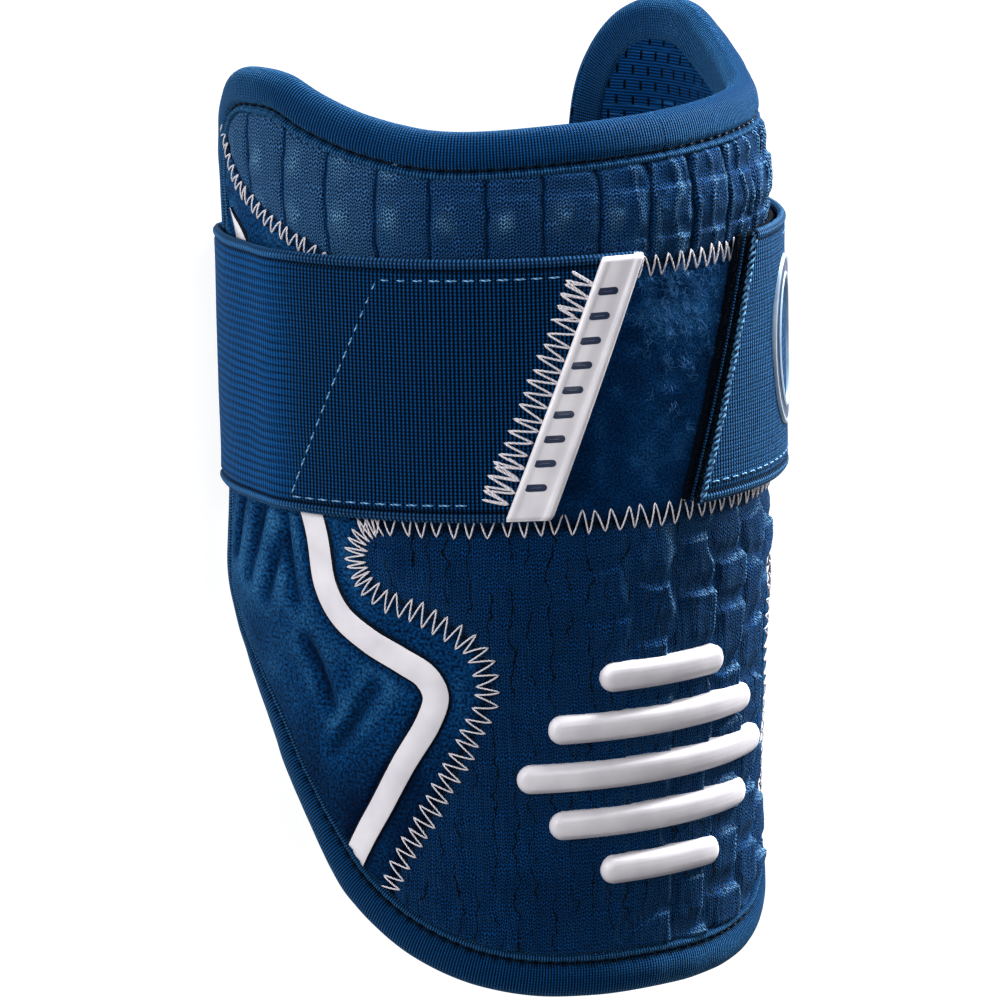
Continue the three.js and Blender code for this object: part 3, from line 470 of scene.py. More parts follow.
# Moulded polyurethane: satin, with a faint mould grain and slight stains; white, navy and pale blue
mouldings = {}
for colour, roughness, tones in (
        ("white", 0.42, ("#c6c3ca", "#d6d3d8")), ("navy", 0.45, ("#021a3c", "#04254a")),
        ("paleBlue", 0.38, ("#7f95ab", "#a3b5c6"))):
    mouldings[colour], tree, shader, mm = newFinish(f"{colour}MouldedPolyurethane", roughness,
                                                    specular=0.4, coat=0.1)
    grain = addNode(tree, "ShaderNodeTexNoise", {"Vector": mm, "Scale": 3.0, "Detail": 2.0})
    stain = addNode(tree, "ShaderNodeTexNoise", {"Vector": mm, "Scale": 0.11, "Detail": 2.0})
    shade = addNode(tree, "ShaderNodeValToRGB", {"Fac": stain}, stops=[(0.3, tones[0]), (0.7, tones[1])])
    finishWith(tree, shader, shade.outputs[0], grain.outputs["Fac"], 0.02)
whiteRubber, navyRubber, paleRubber = (mouldings[colour] for colour in ("white", "navy", "paleBlue"))

# Nylon hook tape: dark stiff bristles
hookNylon, tree, shader, mm = newFinish("nylonHookTape", 0.7, specular=0.05)
bristle = addNode(tree, "ShaderNodeTexNoise", {"Vector": mm, "Scale": 1.7, "Detail": 3.0})
shade = addNode(tree, "ShaderNodeValToRGB", {"Fac": bristle}, stops=[(0.3, "#000308"), (0.7, "#020f20")])
finishWith(tree, shader, shade.outputs[0], bristle.outputs["Fac"], 0.4)

# Perforated lining knit: fine cross rows with short slots painted near-black as the shade inside the holes,
# and a few pulled pale threads
slots = {"pitch": 5.1, "rowPitch": 3.5, "halfWidth": 0.4, "halfRib": 0.8}
liningKnit, tree, shader, mm = newFinish("perforatedLiningKnit", 0.8, specular=0.03, sheen=0.12)
rows = addNode(tree, "ShaderNodeTexWave", {"Vector": mm, "Scale": bandScale / 0.7, "Distortion": 1.0,
                                           "Detail": 1.0, "Detail Scale": 0.5}, bands_direction="Y")
parts = addNode(tree, "ShaderNodeSeparateXYZ", {"Vector": mm})
share = addNode(tree, "ShaderNodeMath", {0: parts.outputs[1], 1: 1 / slots["rowPitch"]}, operation="MULTIPLY")
row = addNode(tree, "ShaderNodeMath", {0: share}, operation="FLOOR")
odd = addNode(tree, "ShaderNodeMath", {0: row, 1: 2.0}, operation="MODULO")
shifted = addNode(tree, "ShaderNodeMath", {0: odd, 1: slots["pitch"] / 2, 2: parts.outputs[0]},
                  operation="MULTIPLY_ADD")
inCell = addNode(tree, "ShaderNodeMath", {0: shifted, 1: slots["pitch"] / 2}, operation="PINGPONG")
narrow = addNode(tree, "ShaderNodeMath", {0: inCell, 1: slots["halfWidth"]}, operation="LESS_THAN")
inRow = addNode(tree, "ShaderNodeMath", {0: parts.outputs[1], 1: slots["rowPitch"] / 2},
                operation="PINGPONG")
middle = addNode(tree, "ShaderNodeMath", {0: inRow, 1: slots["halfRib"]}, operation="GREATER_THAN")
slot = addNode(tree, "ShaderNodeMath", {0: narrow, 1: middle}, operation="MULTIPLY").outputs[0]
weave = addNode(tree, "ShaderNodeMath", {0: slot, 1: -2.0, 2: rows},
                operation="MULTIPLY_ADD").outputs[0]
streaks = addNode(tree, "ShaderNodeMapping", {"Vector": mm, "Scale": (0.05, 1, 1)})
pulled = addNode(tree, "ShaderNodeTexNoise", {"Vector": streaks, "Scale": 0.9, "Detail": 2.0})
pulled = addNode(tree, "ShaderNodeValToRGB", {"Fac": pulled},
                 stops=[(0.62, "#000000"), (0.74, "#ffffff")])
cloth = addNode(tree, "ShaderNodeValToRGB", {"Fac": rows}, stops=[(0, "#001632"), (1, "#064a82")])
cloth = cloth.outputs[0]
cloth = addNode(tree, "ShaderNodeMix", {0: pulled.outputs[0], 6: cloth, 7: toLinear("#2a6a9c")},
                data_type="RGBA").outputs[2]
# painted shade: the slots near-black
cloth = addNode(tree, "ShaderNodeMix", {0: slot, 6: cloth, 7: toLinear("#000207")},
                data_type="RGBA").outputs[2]
finishWith(tree, shader, cloth, weave, 0.25)
print("materials made")

# Seams in the pattern. The rows of lower and upper are the share of the way from the panel to the
# tongue's or lobe's end, and the share of edgeAngle there.
seams = {
    "panelTop": 24.6,
    "panelBottom": -30.4,
    "panelAngle": 71.8,
    "lower": [(0, 0.52), (0.008, 0.54), (0.02, 0.554), (0.04, 0.564), (0.07, 0.568), (0.11, 0.56),
              (0.148, 0.528), (0.171, 0.476), (0.203, 0.416), (0.25, 0.363), (0.3, 0.344),
              (0.352, 0.339), (0.428, 0.358), (0.519, 0.388), (0.64, 0.432), (0.734, 0.473),
              (0.85, 0.503), (1.03, 0.533)],
    "upper": [(0, 0.569), (0.04, 0.61), (0.1, 0.651), (0.15, 0.695), (0.22, 0.747),
              (0.29, 0.792), (0.34, 0.831), (0.43, 0.867), (0.56, 0.9), (0.8, 0.949)],
}


def seamLine(table, start, span):
    points = [(angle * edgeReach, start + at * span) for at, angle in table]
    return smoothCurve(points, False, 0.3)


lowerSeam = seamLine(seams["lower"], seams["panelBottom"], -sleeve["tongueDrop"] - seams["panelBottom"])
upperSeam = seamLine(seams["upper"], seams["panelTop"], sleeve["lobeRise"] - seams["panelTop"])
panelSide = seams["panelAngle"] * mmPerDegree


# A line of one side, with the turn of the tongue
def onSide(line, side):
    return np.stack([side * line[:, 0] + turnAt(line[:, 1]) * mmPerDegree, line[:, 1]], -1)


# Half width of the front pads at a height
def seamAt(h):
    lower = np.interp(-h, -lowerSeam[:, 1], lowerSeam[:, 0])
    upper = np.interp(h, upperSeam[:, 1], upperSeam[:, 0])
    return np.where(h < seams["panelBottom"], lower, np.where(h > seams["panelTop"], upper, panelSide))


# How far the pads are pressed in where the binding covers them
def underBinding(inset):
    return 1.5 * (1 - smoothStep(8.3, 10.0, inset))


# Cells that rise slowly to the right and drop off at their right and top edges, from 0 to 1,
# and how near a place is to such an edge, the rims that the pads paint as a highlight
def shingles(x, h, wide, tall, stagger):
    column = np.floor(x / wide)
    a = x / wide - column - 0.5
    v = h / tall + stagger * (column % 2)
    b = v - np.floor(v) - 0.5
    edges = smoothStep(-0.5, -0.2, a) * (1 - smoothStep(0.38, 0.49, a))
    edges = edges * smoothStep(-0.5, -0.15, b) * (1 - smoothStep(0.38, 0.49, b))
    cells = edges * (0.35 + 0.65 * (a + 0.5)) * (0.7 + 0.3 * (b + 0.5))
    rightRim = bell(a - 0.42, 0.06) * smoothStep(-0.5, -0.15, b) * (1 - smoothStep(0.42, 0.48, b))
    topRim = bell(b - 0.41, 0.06) * smoothStep(-0.3, 0.15, a) * (1 - smoothStep(0.42, 0.48, a))
    return cells, np.maximum(1.35 * rightRim, 0.65 * topRim)


# Lower front pad: scales that stand out towards the right, plainer knit with fine ripples at the left
lowerPad = {
    "columns": 260, "rows": 280, "crown": 0.7, "seamDip": 1.0, "turnIn": 4.6,
    "scaleWide": 12.4, "scaleTall": 12.6, "scaleRise": 2.1, "scaleLean": 0.12,
    "wander": (2.1, 1.6), "wanderSize": 7.0, "scaledFrom": -24.0, "scaledTo": 16.0,
    "ripplePitch": 5.2, "rippleRise": 0.1, "creaseDepth": 0.22, "lumps": 0.1,
}


def lowerFrontPad():
    p = lowerPad
    s = np.linspace(-1, 1, p["columns"])
    reach = np.linspace(seams["panelBottom"] - 0.2, -sleeve["tongueDrop"] - 6, 900)
    across = (turnAt(reach) * mmPerDegree)[:, None] + seamAt(reach)[:, None] * s[None]
    inside = reach[:, None] > np.interp(across, *bottomLine()) + 2.0
    last = reach[np.minimum(inside.sum(0), len(reach) - 1)]
    h = reach[0] + np.linspace(0, 1, p["rows"])[:, None] * (last[None] - reach[0])
    x = turnAt(h) * mmPerDegree + seamAt(h) * s[None]
    side = np.minimum(distanceTo(onSide(lowerSeam, 1), x, h), distanceTo(onSide(lowerSeam, -1), x, h))
    seam = np.minimum(side, reach[0] - h)
    right = 0.2 + 0.8 * smoothStep(p["scaledFrom"], p["scaledTo"], x)
    bentX = x + p["wander"][0] * softNoise(x, h, p["wanderSize"], 4)
    bentH = h + p["wander"][1] * softNoise(x, h, p["wanderSize"], 7) - p["scaleLean"] * x
    scales, litRims = shingles(bentX, bentH, p["scaleWide"], p["scaleTall"], 0.5)
    ripple = np.sin(2 * math.pi * (x + 1.5 * softNoise(x, h / 2.2, 4.5, 5)) / p["ripplePitch"])
    ripples = p["rippleRise"] * ripple - p["creaseDepth"] * smoothStep(0.9, 1.0, ripple)
    relief = p["crown"] * (smoothStep(0, 9, seam) - 1) - p["seamDip"] * bell(seam, 1.3)
    relief = relief + p["scaleRise"] * right * (scales - 0.5) * smoothStep(2, 7, seam)
    relief = relief + ripples * smoothStep(3, 8, seam) + p["lumps"] * softNoise(x, h, 2.4, 6)
    patchy = 0.5 + 0.5 * softNoise(x, h, 6, 8)
    # Painted light: highlights along the scales' right and top rims, patchy, and over the right side; painted
    # shade towards the left, patchy, and along the seams
    crest = smoothStep(-20, 16, x) * (1.25 * litRims * (0.55 + 0.8 * patchy) - 0.25)
    crest = crest + 0.35 * smoothStep(26, 56, x)
    crest = crest - 0.3 * (1 - smoothStep(-30, 10, x)) * patchy - 0.9 * bell(seam, 1.2)
    relief = relief - underBinding(distanceTo(outline, x, h))
    piece = skin("lower_front_padding", x, h, relief, crest, p["turnIn"], frontKnit, "front_knit",
                 ["lower_front_pad"], ladder=1 - 0.5 * smoothStep(20, 45, x))


# Lowest and highest h of the outline over x, as lines
def bottomLine():
    low = outline[outline[:, 1] < -20]
    order = np.argsort(low[:, 0])
    return low[order, 0], low[order, 1]


def topLine():
    high = outline[outline[:, 1] > 36]
    order = np.argsort(high[:, 0])
    return high[order, 0], high[order, 1]


lowerFrontPad()
print("lower front pad made")

# Upper front pad: sewn channels with domes between them, crushed into folds at the right
upperPad = {
    "columns": 640, "rows": 100, "crown": 0.6, "seamDip": 0.9, "turnIn": 4.6, "reach": 116.5,
    "channelPitch": 12.3, "channelShift": 5.0, "channelWander": 0.45, "channelWidth": 0.5,
    "channelDepth": 0.5, "domeRise": 1.2, "domeTall": 10.8, "domeShift": (0.6, -41.8),
    "foldPitch": 5.6, "foldRise": 0.55, "foldedFrom": -24.0, "foldedTo": 16.0,
    "tuftHeights": (36.5, 47.5), "tuftRise": 0.5, "lumps": 0.12,
}


def upperFrontPad():
    p = upperPad
    reach = p["reach"] * mmPerDegree
    x = np.linspace(-reach, reach, p["columns"])[None]
    floor = np.interp(np.abs(x), upperSeam[:, 0], upperSeam[:, 1])
    floor = np.where(np.abs(x) < panelSide, seams["panelTop"], floor)
    top = np.maximum(np.interp(x, *topLine()) - 2.0, floor + 0.3)
    h = floor + np.linspace(0, 1, p["rows"])[:, None] * (top - floor)
    x = np.broadcast_to(x, h.shape)
    mirrored = np.stack([-upperSeam[:, 0], upperSeam[:, 1]], -1)
    seam = np.minimum(distanceTo(upperSeam, x, h), distanceTo(mirrored, x, h))
    seam = np.where(np.abs(x) < panelSide, np.minimum(seam, h - seams["panelTop"]), seam)
    pitch = p["channelPitch"]
    bentX = x + p["channelShift"] + p["channelWander"] * softNoise(x, h, 3, 11)
    channel = pitch / 2 - np.abs((bentX / pitch) % 1 - 0.5) * pitch
    domes, litRims = shingles(bentX + p["domeShift"][0], h + p["domeShift"][1], pitch, p["domeTall"], 0.0)
    fold = ((x + 2.0 * softNoise(x, h / 1.6, 4, 12)) / p["foldPitch"]) % 1 - 0.5
    right = smoothStep(p["foldedFrom"], p["foldedTo"], x)
    crush = right * (2 * bell(fold, 0.15) - 0.55) * (0.6 + 0.4 * softNoise(x, h, 5, 14))
    low, high = p["tuftHeights"]
    lowTufts = bell(h - low + 0.8 * softNoise(x, 0 * h, 9, 15), 2.6)
    highTufts = bell(h - high, 2.8) * (1 - smoothStep(-62, -45, x))
    tufts = bell((bentX / pitch - 0.5) % 1 - 0.8, 0.17) * np.maximum(lowTufts, highTufts)
    tufts = tufts * (0.7 + 0.5 * softNoise(x, h, 1.7, 16))
    relief = p["crown"] * (smoothStep(0, 8, seam) - 1) - p["seamDip"] * bell(seam, 1.3)
    relief = relief - p["channelDepth"] * bell(channel, p["channelWidth"]) * smoothStep(0.5, 3, seam)
    relief = relief + p["domeRise"] * (0.3 + 0.7 * right) * (domes - 0.4) * smoothStep(1, 5, seam)
    relief = relief + p["foldRise"] * crush + p["tuftRise"] * tufts + p["lumps"] * softNoise(x, h, 2.2, 13)
    relief = relief - underBinding(distanceTo(outline, x, h))
    # Painted light: highlights on the tufts at the left, on the domes' rims and the crushed folds at the
    # right, and paler at the far left; painted shade along the channels and seams
    crest = 0.1 + 0.65 * tufts * (1 - right) + 0.6 * litRims * right + 0.75 * crush - 0.1 * right
    crest = crest + 0.2 * (1 - smoothStep(-75, -50, x)) - 1.25 * bell(channel, 0.3) - 0.8 * bell(seam, 1.2)
    piece = skin("upper_front_padding", x, h, relief, crest, p["turnIn"], frontKnit, "front_knit",
                 ["upper_front_pad"], ladder=0.6 * right)


upperFrontPad()
print("upper front pad made")

# Loop panel
panel = {"columns": 160, "rows": 72, "turnIn": 4.6, "dip": 0.8, "lumps": 0.12}


def loopPanel():
    x, h = np.meshgrid(np.linspace(-panelSide + 0.15, panelSide - 0.15, panel["columns"]),
                       np.linspace(seams["panelBottom"] + 0.1, seams["panelTop"] - 0.1, panel["rows"]))
    seam = np.minimum(np.minimum(h - seams["panelBottom"], seams["panelTop"] - h), panelSide - np.abs(x))
    lumps = softNoise(x, h, 1.6, 21) + softNoise(x, h, 6, 22)
    relief = panel["lumps"] * lumps - panel["dip"] * bell(seam, 1.6)
    # random tone, with painted shade along the seams
    crest = 0.45 * softNoise(x, h, 4, 23) - 0.7 * bell(seam, 1.5) - 0.15
    crest = crest + 0.5 * bell(x - 4, 11) * bell(h - 14, 7)   # worn pale beside the pull tab
    piece = skin("loop_panel_pile", x, h, relief, crest, panel["turnIn"], loopPile, "loop_pile",
                 ["loop_panel"])


loopPanel()

# Side pads
stripe = {
    "width": 6.0, "edge": 0.45, "rise": 0.25, "groove": 0.7,
    "line": [(0.25, 0.893), (0.208, 0.846), (0.11, 0.795), (-0.06, 0.73), (-0.2375, 0.651),
             (-0.331, 0.631), (-0.378, 0.602), (-0.414, 0.55), (-0.444, 0.487), (-0.467, 0.446),
             (-0.499, 0.428), (-0.541, 0.438), (-0.611, 0.476), (-0.689, 0.514), (-0.736, 0.54),
             (-0.81, 0.578)],   # share of tongueDrop, share of edgeAngle
}
stripeLine = smoothCurve([(angle * edgeReach, height * sleeve["tongueDrop"])
                          for height, angle in stripe["line"]], False, 0.5)
sidePads = {
    "columns": 124, "rows": 270, "crown": 0.7, "seamDip": 1.0, "turnIn": 4.6,
    "dentWidth": 1.9, "dentDepth": 1.7,
    # from and to as (share of edgeAngle, share of tongueDrop), width share
    "dents": [((0.844, 0.16), (0.9, 0.315), 0.9), ((0.765, 0.16), (0.835, 0.34), 1),
              ((0.736, 0.27), (0.775, 0.365), 0.85), ((0.744, 0.16), (0.699, 0.36), 0.8),
              ((0.678, 0.43), (0.634, 0.53), 1), ((0.542, 0.49), (0.62, 0.6), 1)],
}


def backEdge(h):
    right = outline[outline[:, 0] > 60]
    order = np.argsort(right[:, 1])
    return np.interp(h, right[order, 1], right[order, 0])


# Distance of pattern points from a straight dent, and the dent's strength along it
def dentAt(x, h, start, end):
    a, b = (np.array([angle * edgeReach, -drop * sleeve["tongueDrop"]]) for angle, drop in (start, end))
    run = b - a
    t = np.clip(((x - a[0]) * run[0] + (h - a[1]) * run[1]) / (run ** 2).sum(), 0, 1)
    gap = np.hypot(x - a[0] - t * run[0], h - a[1] - t * run[1])
    return gap, 0.45 + 0.55 * np.sin(math.pi * np.clip(t, 0.05, 0.95)) ** 0.5


def sidePad(side, name):
    reach = np.linspace(-127, 56, 800)
    reach = reach[backEdge(reach) - 2.3 > seamAt(reach)]
    heights = np.linspace(reach[0], reach[-1], sidePads["rows"])[:, None]
    front = seamAt(heights) + 0.15
    back = np.maximum(backEdge(heights) - 2.0, front + 0.3)
    x = front + np.linspace(0, 1, sidePads["columns"])[None] * (back - front)
    h = np.broadcast_to(heights, x.shape)
    seam = np.minimum(distanceTo(lowerSeam, x, h), distanceTo(upperSeam, x, h))
    besidePanel = (h < seams["panelTop"]) & (h > seams["panelBottom"])
    seam = np.where(besidePanel, np.minimum(seam, x - panelSide), seam)
    relief = sidePads["crown"] * (smoothStep(0, 9, seam) - 1) - sidePads["seamDip"] * bell(seam, 1.4)
    # random tone, with painted shade along the seams
    crest = 0.3 * softNoise(x, h, 7, 33) - 0.6 * bell(seam, 1.3)
    # painted shade in each dent and a painted highlight on the ridge beside it
    for start, end, width in sidePads["dents"]:
        gap, strength = dentAt(x, h, start, end)
        width = sidePads["dentWidth"] * width
        relief = relief - sidePads["dentDepth"] * bell(gap, width) * strength
        crest = crest - 0.85 * bell(gap, width * 0.9) * strength + 0.25 * bell(gap - 4.0, 1.6)
    beside = distanceTo(stripeLine, x, h) - stripe["width"] / 2
    relief = relief - stripe["groove"] * (1 - smoothStep(0, 1.6, beside))
    relief = relief + 0.1 * softNoise(x, h, 2.2, 31) + 0.18 * softNoise(x, h, 9, 32)
    # painted shade in the groove beside the stripe
    crest = crest - 0.5 * bell(beside - 0.8, 0.8)
    # painted shade towards its foot and painted light at its top
    crest = crest - 0.75 * smoothStep(-66, -100, h) + 0.2 * smoothStep(-60, -34, h)
    x = side * x + turnAt(h) * mmPerDegree
    relief = relief - underBinding(distanceTo(outline, x, h))
    if side < 0:
        x, h, relief, crest = (a[:, ::-1] for a in (x, h, relief, crest))
    piece = skin(f"side_padding_{name}", x, h, relief, crest, sidePads["turnIn"], brushed, "brushed_fabric",
                 [f"side_pad_{name}"])


# Bonded stripe: a flat ribbon on the pad with a thin dark edge
def sideStripe(side, name):
    along = unit(np.gradient(stripeLine, axis=0))
    half, edge = stripe["width"] / 2, stripe["edge"]
    right = np.array([half - 0.12, half, half, half + edge, half + edge + 0.2])
    across = np.concatenate([-right[::-1], [0], right])
    fall = np.array([0.06, -0.02, -0.1, -0.12, -1.0])
    rise = np.concatenate([fall[::-1], [0.06], fall]) + stripe["rise"] - 0.45
    point = smoothStep(-1, 13, np.arange(len(stripeLine)) * 0.5)[:, None]   # narrows to a point at its top
    x = stripeLine[:, :1] + along[:, 1:] * across[None] * point
    h = stripeLine[:, 1:] - along[:, :1] * across[None] * point
    turned = side * x + turnAt(h) * mmPerDegree
    sunk = 1.3 * (1 - smoothStep(8.2, 9.6, distanceTo(outline, turned, h)))
    points = place(turned, h, sunk - rise)
    faces = gridFaces(*x.shape)
    if side < 0:
        faces = faces[:, ::-1]
    piece = newPiece(f"side_ribbon_{name}", points.reshape(-1, 3), faces, asUv(x, h), whiteRubber,
                     "white_print", [f"side_stripe_{name}"])
    piece.data.materials.append(darkThread)
    column = np.tile(np.arange(len(across) - 1), len(x) - 1)
    dark = ((column <= 2) | (column >= len(across) - 4)).astype(np.int32)
    piece.data.polygons.foreach_set("material_index", dark)


for side, name in ((-1, "left"), (1, "right")):
    sidePad(side, name)
    sideStripe(side, name)
print("side pads made")

# Wall under the binding gets thinner towards the edge
wall = {"depth": 8.4, "edgeDepth": 6.0, "thinFrom": 16.0}


def wallDepth(inset):
    thicker = (wall["depth"] - wall["edgeDepth"]) * smoothStep(1, wall["thinFrom"], inset)
    return wall["edgeDepth"] + thicker


# Lining
liningCut = {"columns": 200, "rows": 130}


def lining():
    reach = edgeReach - 1.2
    x = np.linspace(-reach, reach, liningCut["columns"])[None]
    top, bottom = np.interp(x, *topLine()) - 1.5, np.interp(x, *bottomLine()) + 1.5
    h = bottom + np.linspace(0, 1, liningCut["rows"])[:, None] * (top - bottom)
    x = np.broadcast_to(x, h.shape)
    depth = wallDepth(distanceTo(outline, x, h)) + 0.12 * softNoise(x, h, 8, 41)
    points = place(x, h, depth).reshape(-1, 3)
    return newPiece("lining_cloth", points, gridFaces(*x.shape), asUv(x, h), liningKnit, "lining_mesh",
                    ["lining"])


liningPiece = lining()

# Edge binding: a knit tape rolled over the edge, with a stitched lip inside
binding = {
    "stitchInset": 7.3, "stitchPitch": 3.4, "stitchRadius": 0.3, "stitchSink": 0.95,
    "holeWidth": 0.6, "holeDepth": 0.45, "lipInset": 8.5, "cordPitch": 0.95, "waves": 0.16,
    # half sections as (inset from the edge, depth), the inner one measured from the wall's edgeDepth
    "outer": [(9.3, 1.5), (9.1, 0.5), (8.6, 0.0), (8.1, 0.05), (7.7, 0.75), (7.3, 1.0), (6.9, 0.35),
              (6.2, -0.1), (5.0, -0.4), (3.2, -0.35), (1.5, 0.05), (0.2, 0.9), (-0.5, 2.3)],
    "inner": [(0.4, -0.6), (1.6, 0.35), (3.4, 0.85), (5.6, 1.3), (7.4, 1.65), (8.4, 1.7), (9.0, 1.0)],
}


def bindingProfile():
    turn = [(-0.5, (wall["edgeDepth"] + 0.7) * 0.58)]
    inner = [(inset, wall["edgeDepth"] + depth) for inset, depth in binding["inner"]]
    return smoothCurve(binding["outer"] + turn + inner, False, 0.66)


def edgeBinding():
    profile = bindingProfile()
    along = unit(np.roll(outline, -1, 0) - np.roll(outline, 1, 0))
    run = np.arange(len(outline)) * np.linalg.norm(outline[1] - outline[0])
    total = run[-1] + run[1]
    stitches = round(total / binding["stitchPitch"])
    hole = np.abs((run / total * stitches) % 1 - 0.5)[:, None] * 2   # 1 at a stitch hole, 0 between two
    inset, depth = profile[None, :, 0], profile[None, :, 1]
    outerSide = smoothStep(-wall["edgeDepth"] * 0.6, -wall["edgeDepth"] * 0.3, -depth)
    pucker = bell(inset - binding["stitchInset"], binding["holeWidth"]) * outerSide
    depth = depth + binding["holeDepth"] * pucker * smoothStep(0.3, 0.8, hole)
    lip = bell(inset - binding["lipInset"], 0.5) * outerSide
    cord = np.sin(2 * math.pi * (run[:, None] - 0.8 * inset) / binding["cordPitch"])
    depth = depth - (0.12 * (1 - hole) + 0.1 * cord) * lip
    x = outline[:, :1] + along[:, 1:] * inset
    h = outline[:, 1:] - along[:, :1] * inset
    # Painted highlight on the stitched lip; painted shade in the dimples at the stitch holes and along the
    # binding's outer edge against the pad
    crest = 0.5 * lip - 1.3 * pucker * smoothStep(0.35, 0.75, hole)
    crest = crest - 0.5 * bell(inset - 9.3, 0.35) * outerSide
    depth = depth + binding["waves"] * softNoise(run[:, None] + 0 * x, inset + 0 * x, 5.5, 51)
    tapeWidth = runOf(profile)
    points = place(x, h, depth).reshape(-1, 3)
    piece = newPiece("edge_binding_tape", points, gridFaces(*x.shape, closeRows=True),
                     asUv(run[:, None], tapeWidth[None]), bindingKnit, "binding_knit", ["edge_binding"],
                     crest=np.clip(crest + 0 * x, -1, 1))
    paths, ups = [], []
    for i in range(stitches):
        t = np.linspace(i + 0.14, i + 0.86, 6) / stitches * len(outline)
        centre = np.stack([np.interp(t, np.arange(len(outline)), outline[:, k]) for k in (0, 1)], -1)
        step = along[np.minimum(t.astype(int), len(outline) - 1)]
        x = centre[:, 0] + step[:, 1] * binding["stitchInset"]
        h = centre[:, 1] - step[:, 0] * binding["stitchInset"]
        paths.append(place(x, h, binding["stitchSink"] - 0.3 * np.sin(np.linspace(0, math.pi, 6))))
        ups.append(outwards(x))
    threadPiece("edge_binding_stitches", paths, ups, binding["stitchRadius"], 5, darkThread, "binding_knit")
    return piece, total, tapeWidth[-1]


bindingPiece, bindingLength, bindingWidth = edgeBinding()
print("edge binding made, mm wide and round:", round(bindingWidth, 1), round(bindingLength))

# Strap
strap = {
    "width": 57.0, "thickness": 1.6, "layerGap": 0.7, "hookThickness": 1.0, "hookReach": 87.0,
    "hookFade": 14.0, "cornerRadius": 7.0, "slantReach": 60.0, "rows": 420, "columns": 58,
    "leftEnd": (-9.5, -30.0),   # degrees at the top and bottom edge
    "rightEnd": (24.0, 4.0),
}
strapLift = strap["layerGap"] + strap["thickness"] / 2
hookLift = strap["layerGap"] + strap["hookThickness"]


def strapRadius(angle):
    lifted = 1 - smoothStep(strap["hookReach"], strap["hookReach"] + strap["hookFade"], np.abs(angle))
    return surfaceRadius(angle * mmPerDegree, 0 * angle) + strapLift + hookLift * lifted


def strapCourse():
    wrap = float(surfaceRadius(edgeReach, 0.0)) + strapLift
    rise = axisHeight - strap["thickness"] / 2 - strap["cornerRadius"]
    centre = math.sqrt((wrap - strap["cornerRadius"]) ** 2 - rise ** 2)
    meet = 180 - math.atan2(centre, rise) / degree
    angles = np.arange(0, meet, 0.5)
    radius = strapRadius(angles)
    around = np.stack([-radius * np.sin(angles * degree), radius * np.cos(angles * degree)], -1)
    corner = np.linspace(meet, 180, 14) * degree
    bend = np.stack([-centre - strap["cornerRadius"] * np.sin(corner),
                     -rise + strap["cornerRadius"] * np.cos(corner)], -1)
    left = np.vstack([around, bend])
    flat = np.linspace(left[-1], left[-1] * [-1, 1], 120)[1:-1]
    return np.vstack([left, flat, left[::-1] * [-1, 1]])


course = strapCourse()
courseLengths = runOf(course)
strapWhole = courseLengths[-1]
frontRadius = float(strapRadius(np.array(0.0)))


# Point of the strap's course in metres; out is the distance outwards from its middle
def strapPoint(length, h, out):
    def onCourse(at):
        return (np.interp(at % strapWhole, courseLengths, course[:, k]) for k in (0, 1))
    length = np.asarray(length)
    px, pz = onCourse(length)
    qx, qz = onCourse(length + 0.4)
    rx, rz = onCourse(length - 0.4)
    ax, az = qx - rx, qz - rz
    norm = np.hypot(ax, az)
    ax, az = ax / norm, az / norm
    return np.stack([px + az * out, h - middleHeight + 0 * px, axisHeight + pz - ax * out], -1) * milli


def onWebbing(length, h, rise):
    return strapPoint(length, h, strap["thickness"] / 2 + rise)


# How far round the front an angle lies, and the strap's slanted ends, as lengths of its course
def angleRun(angle):
    return -angle * degree * frontRadius


def slant(end, h):
    return angleRun(end[1] + (end[0] - end[1]) * (h + sleeve["strapHalf"]) / strap["width"])


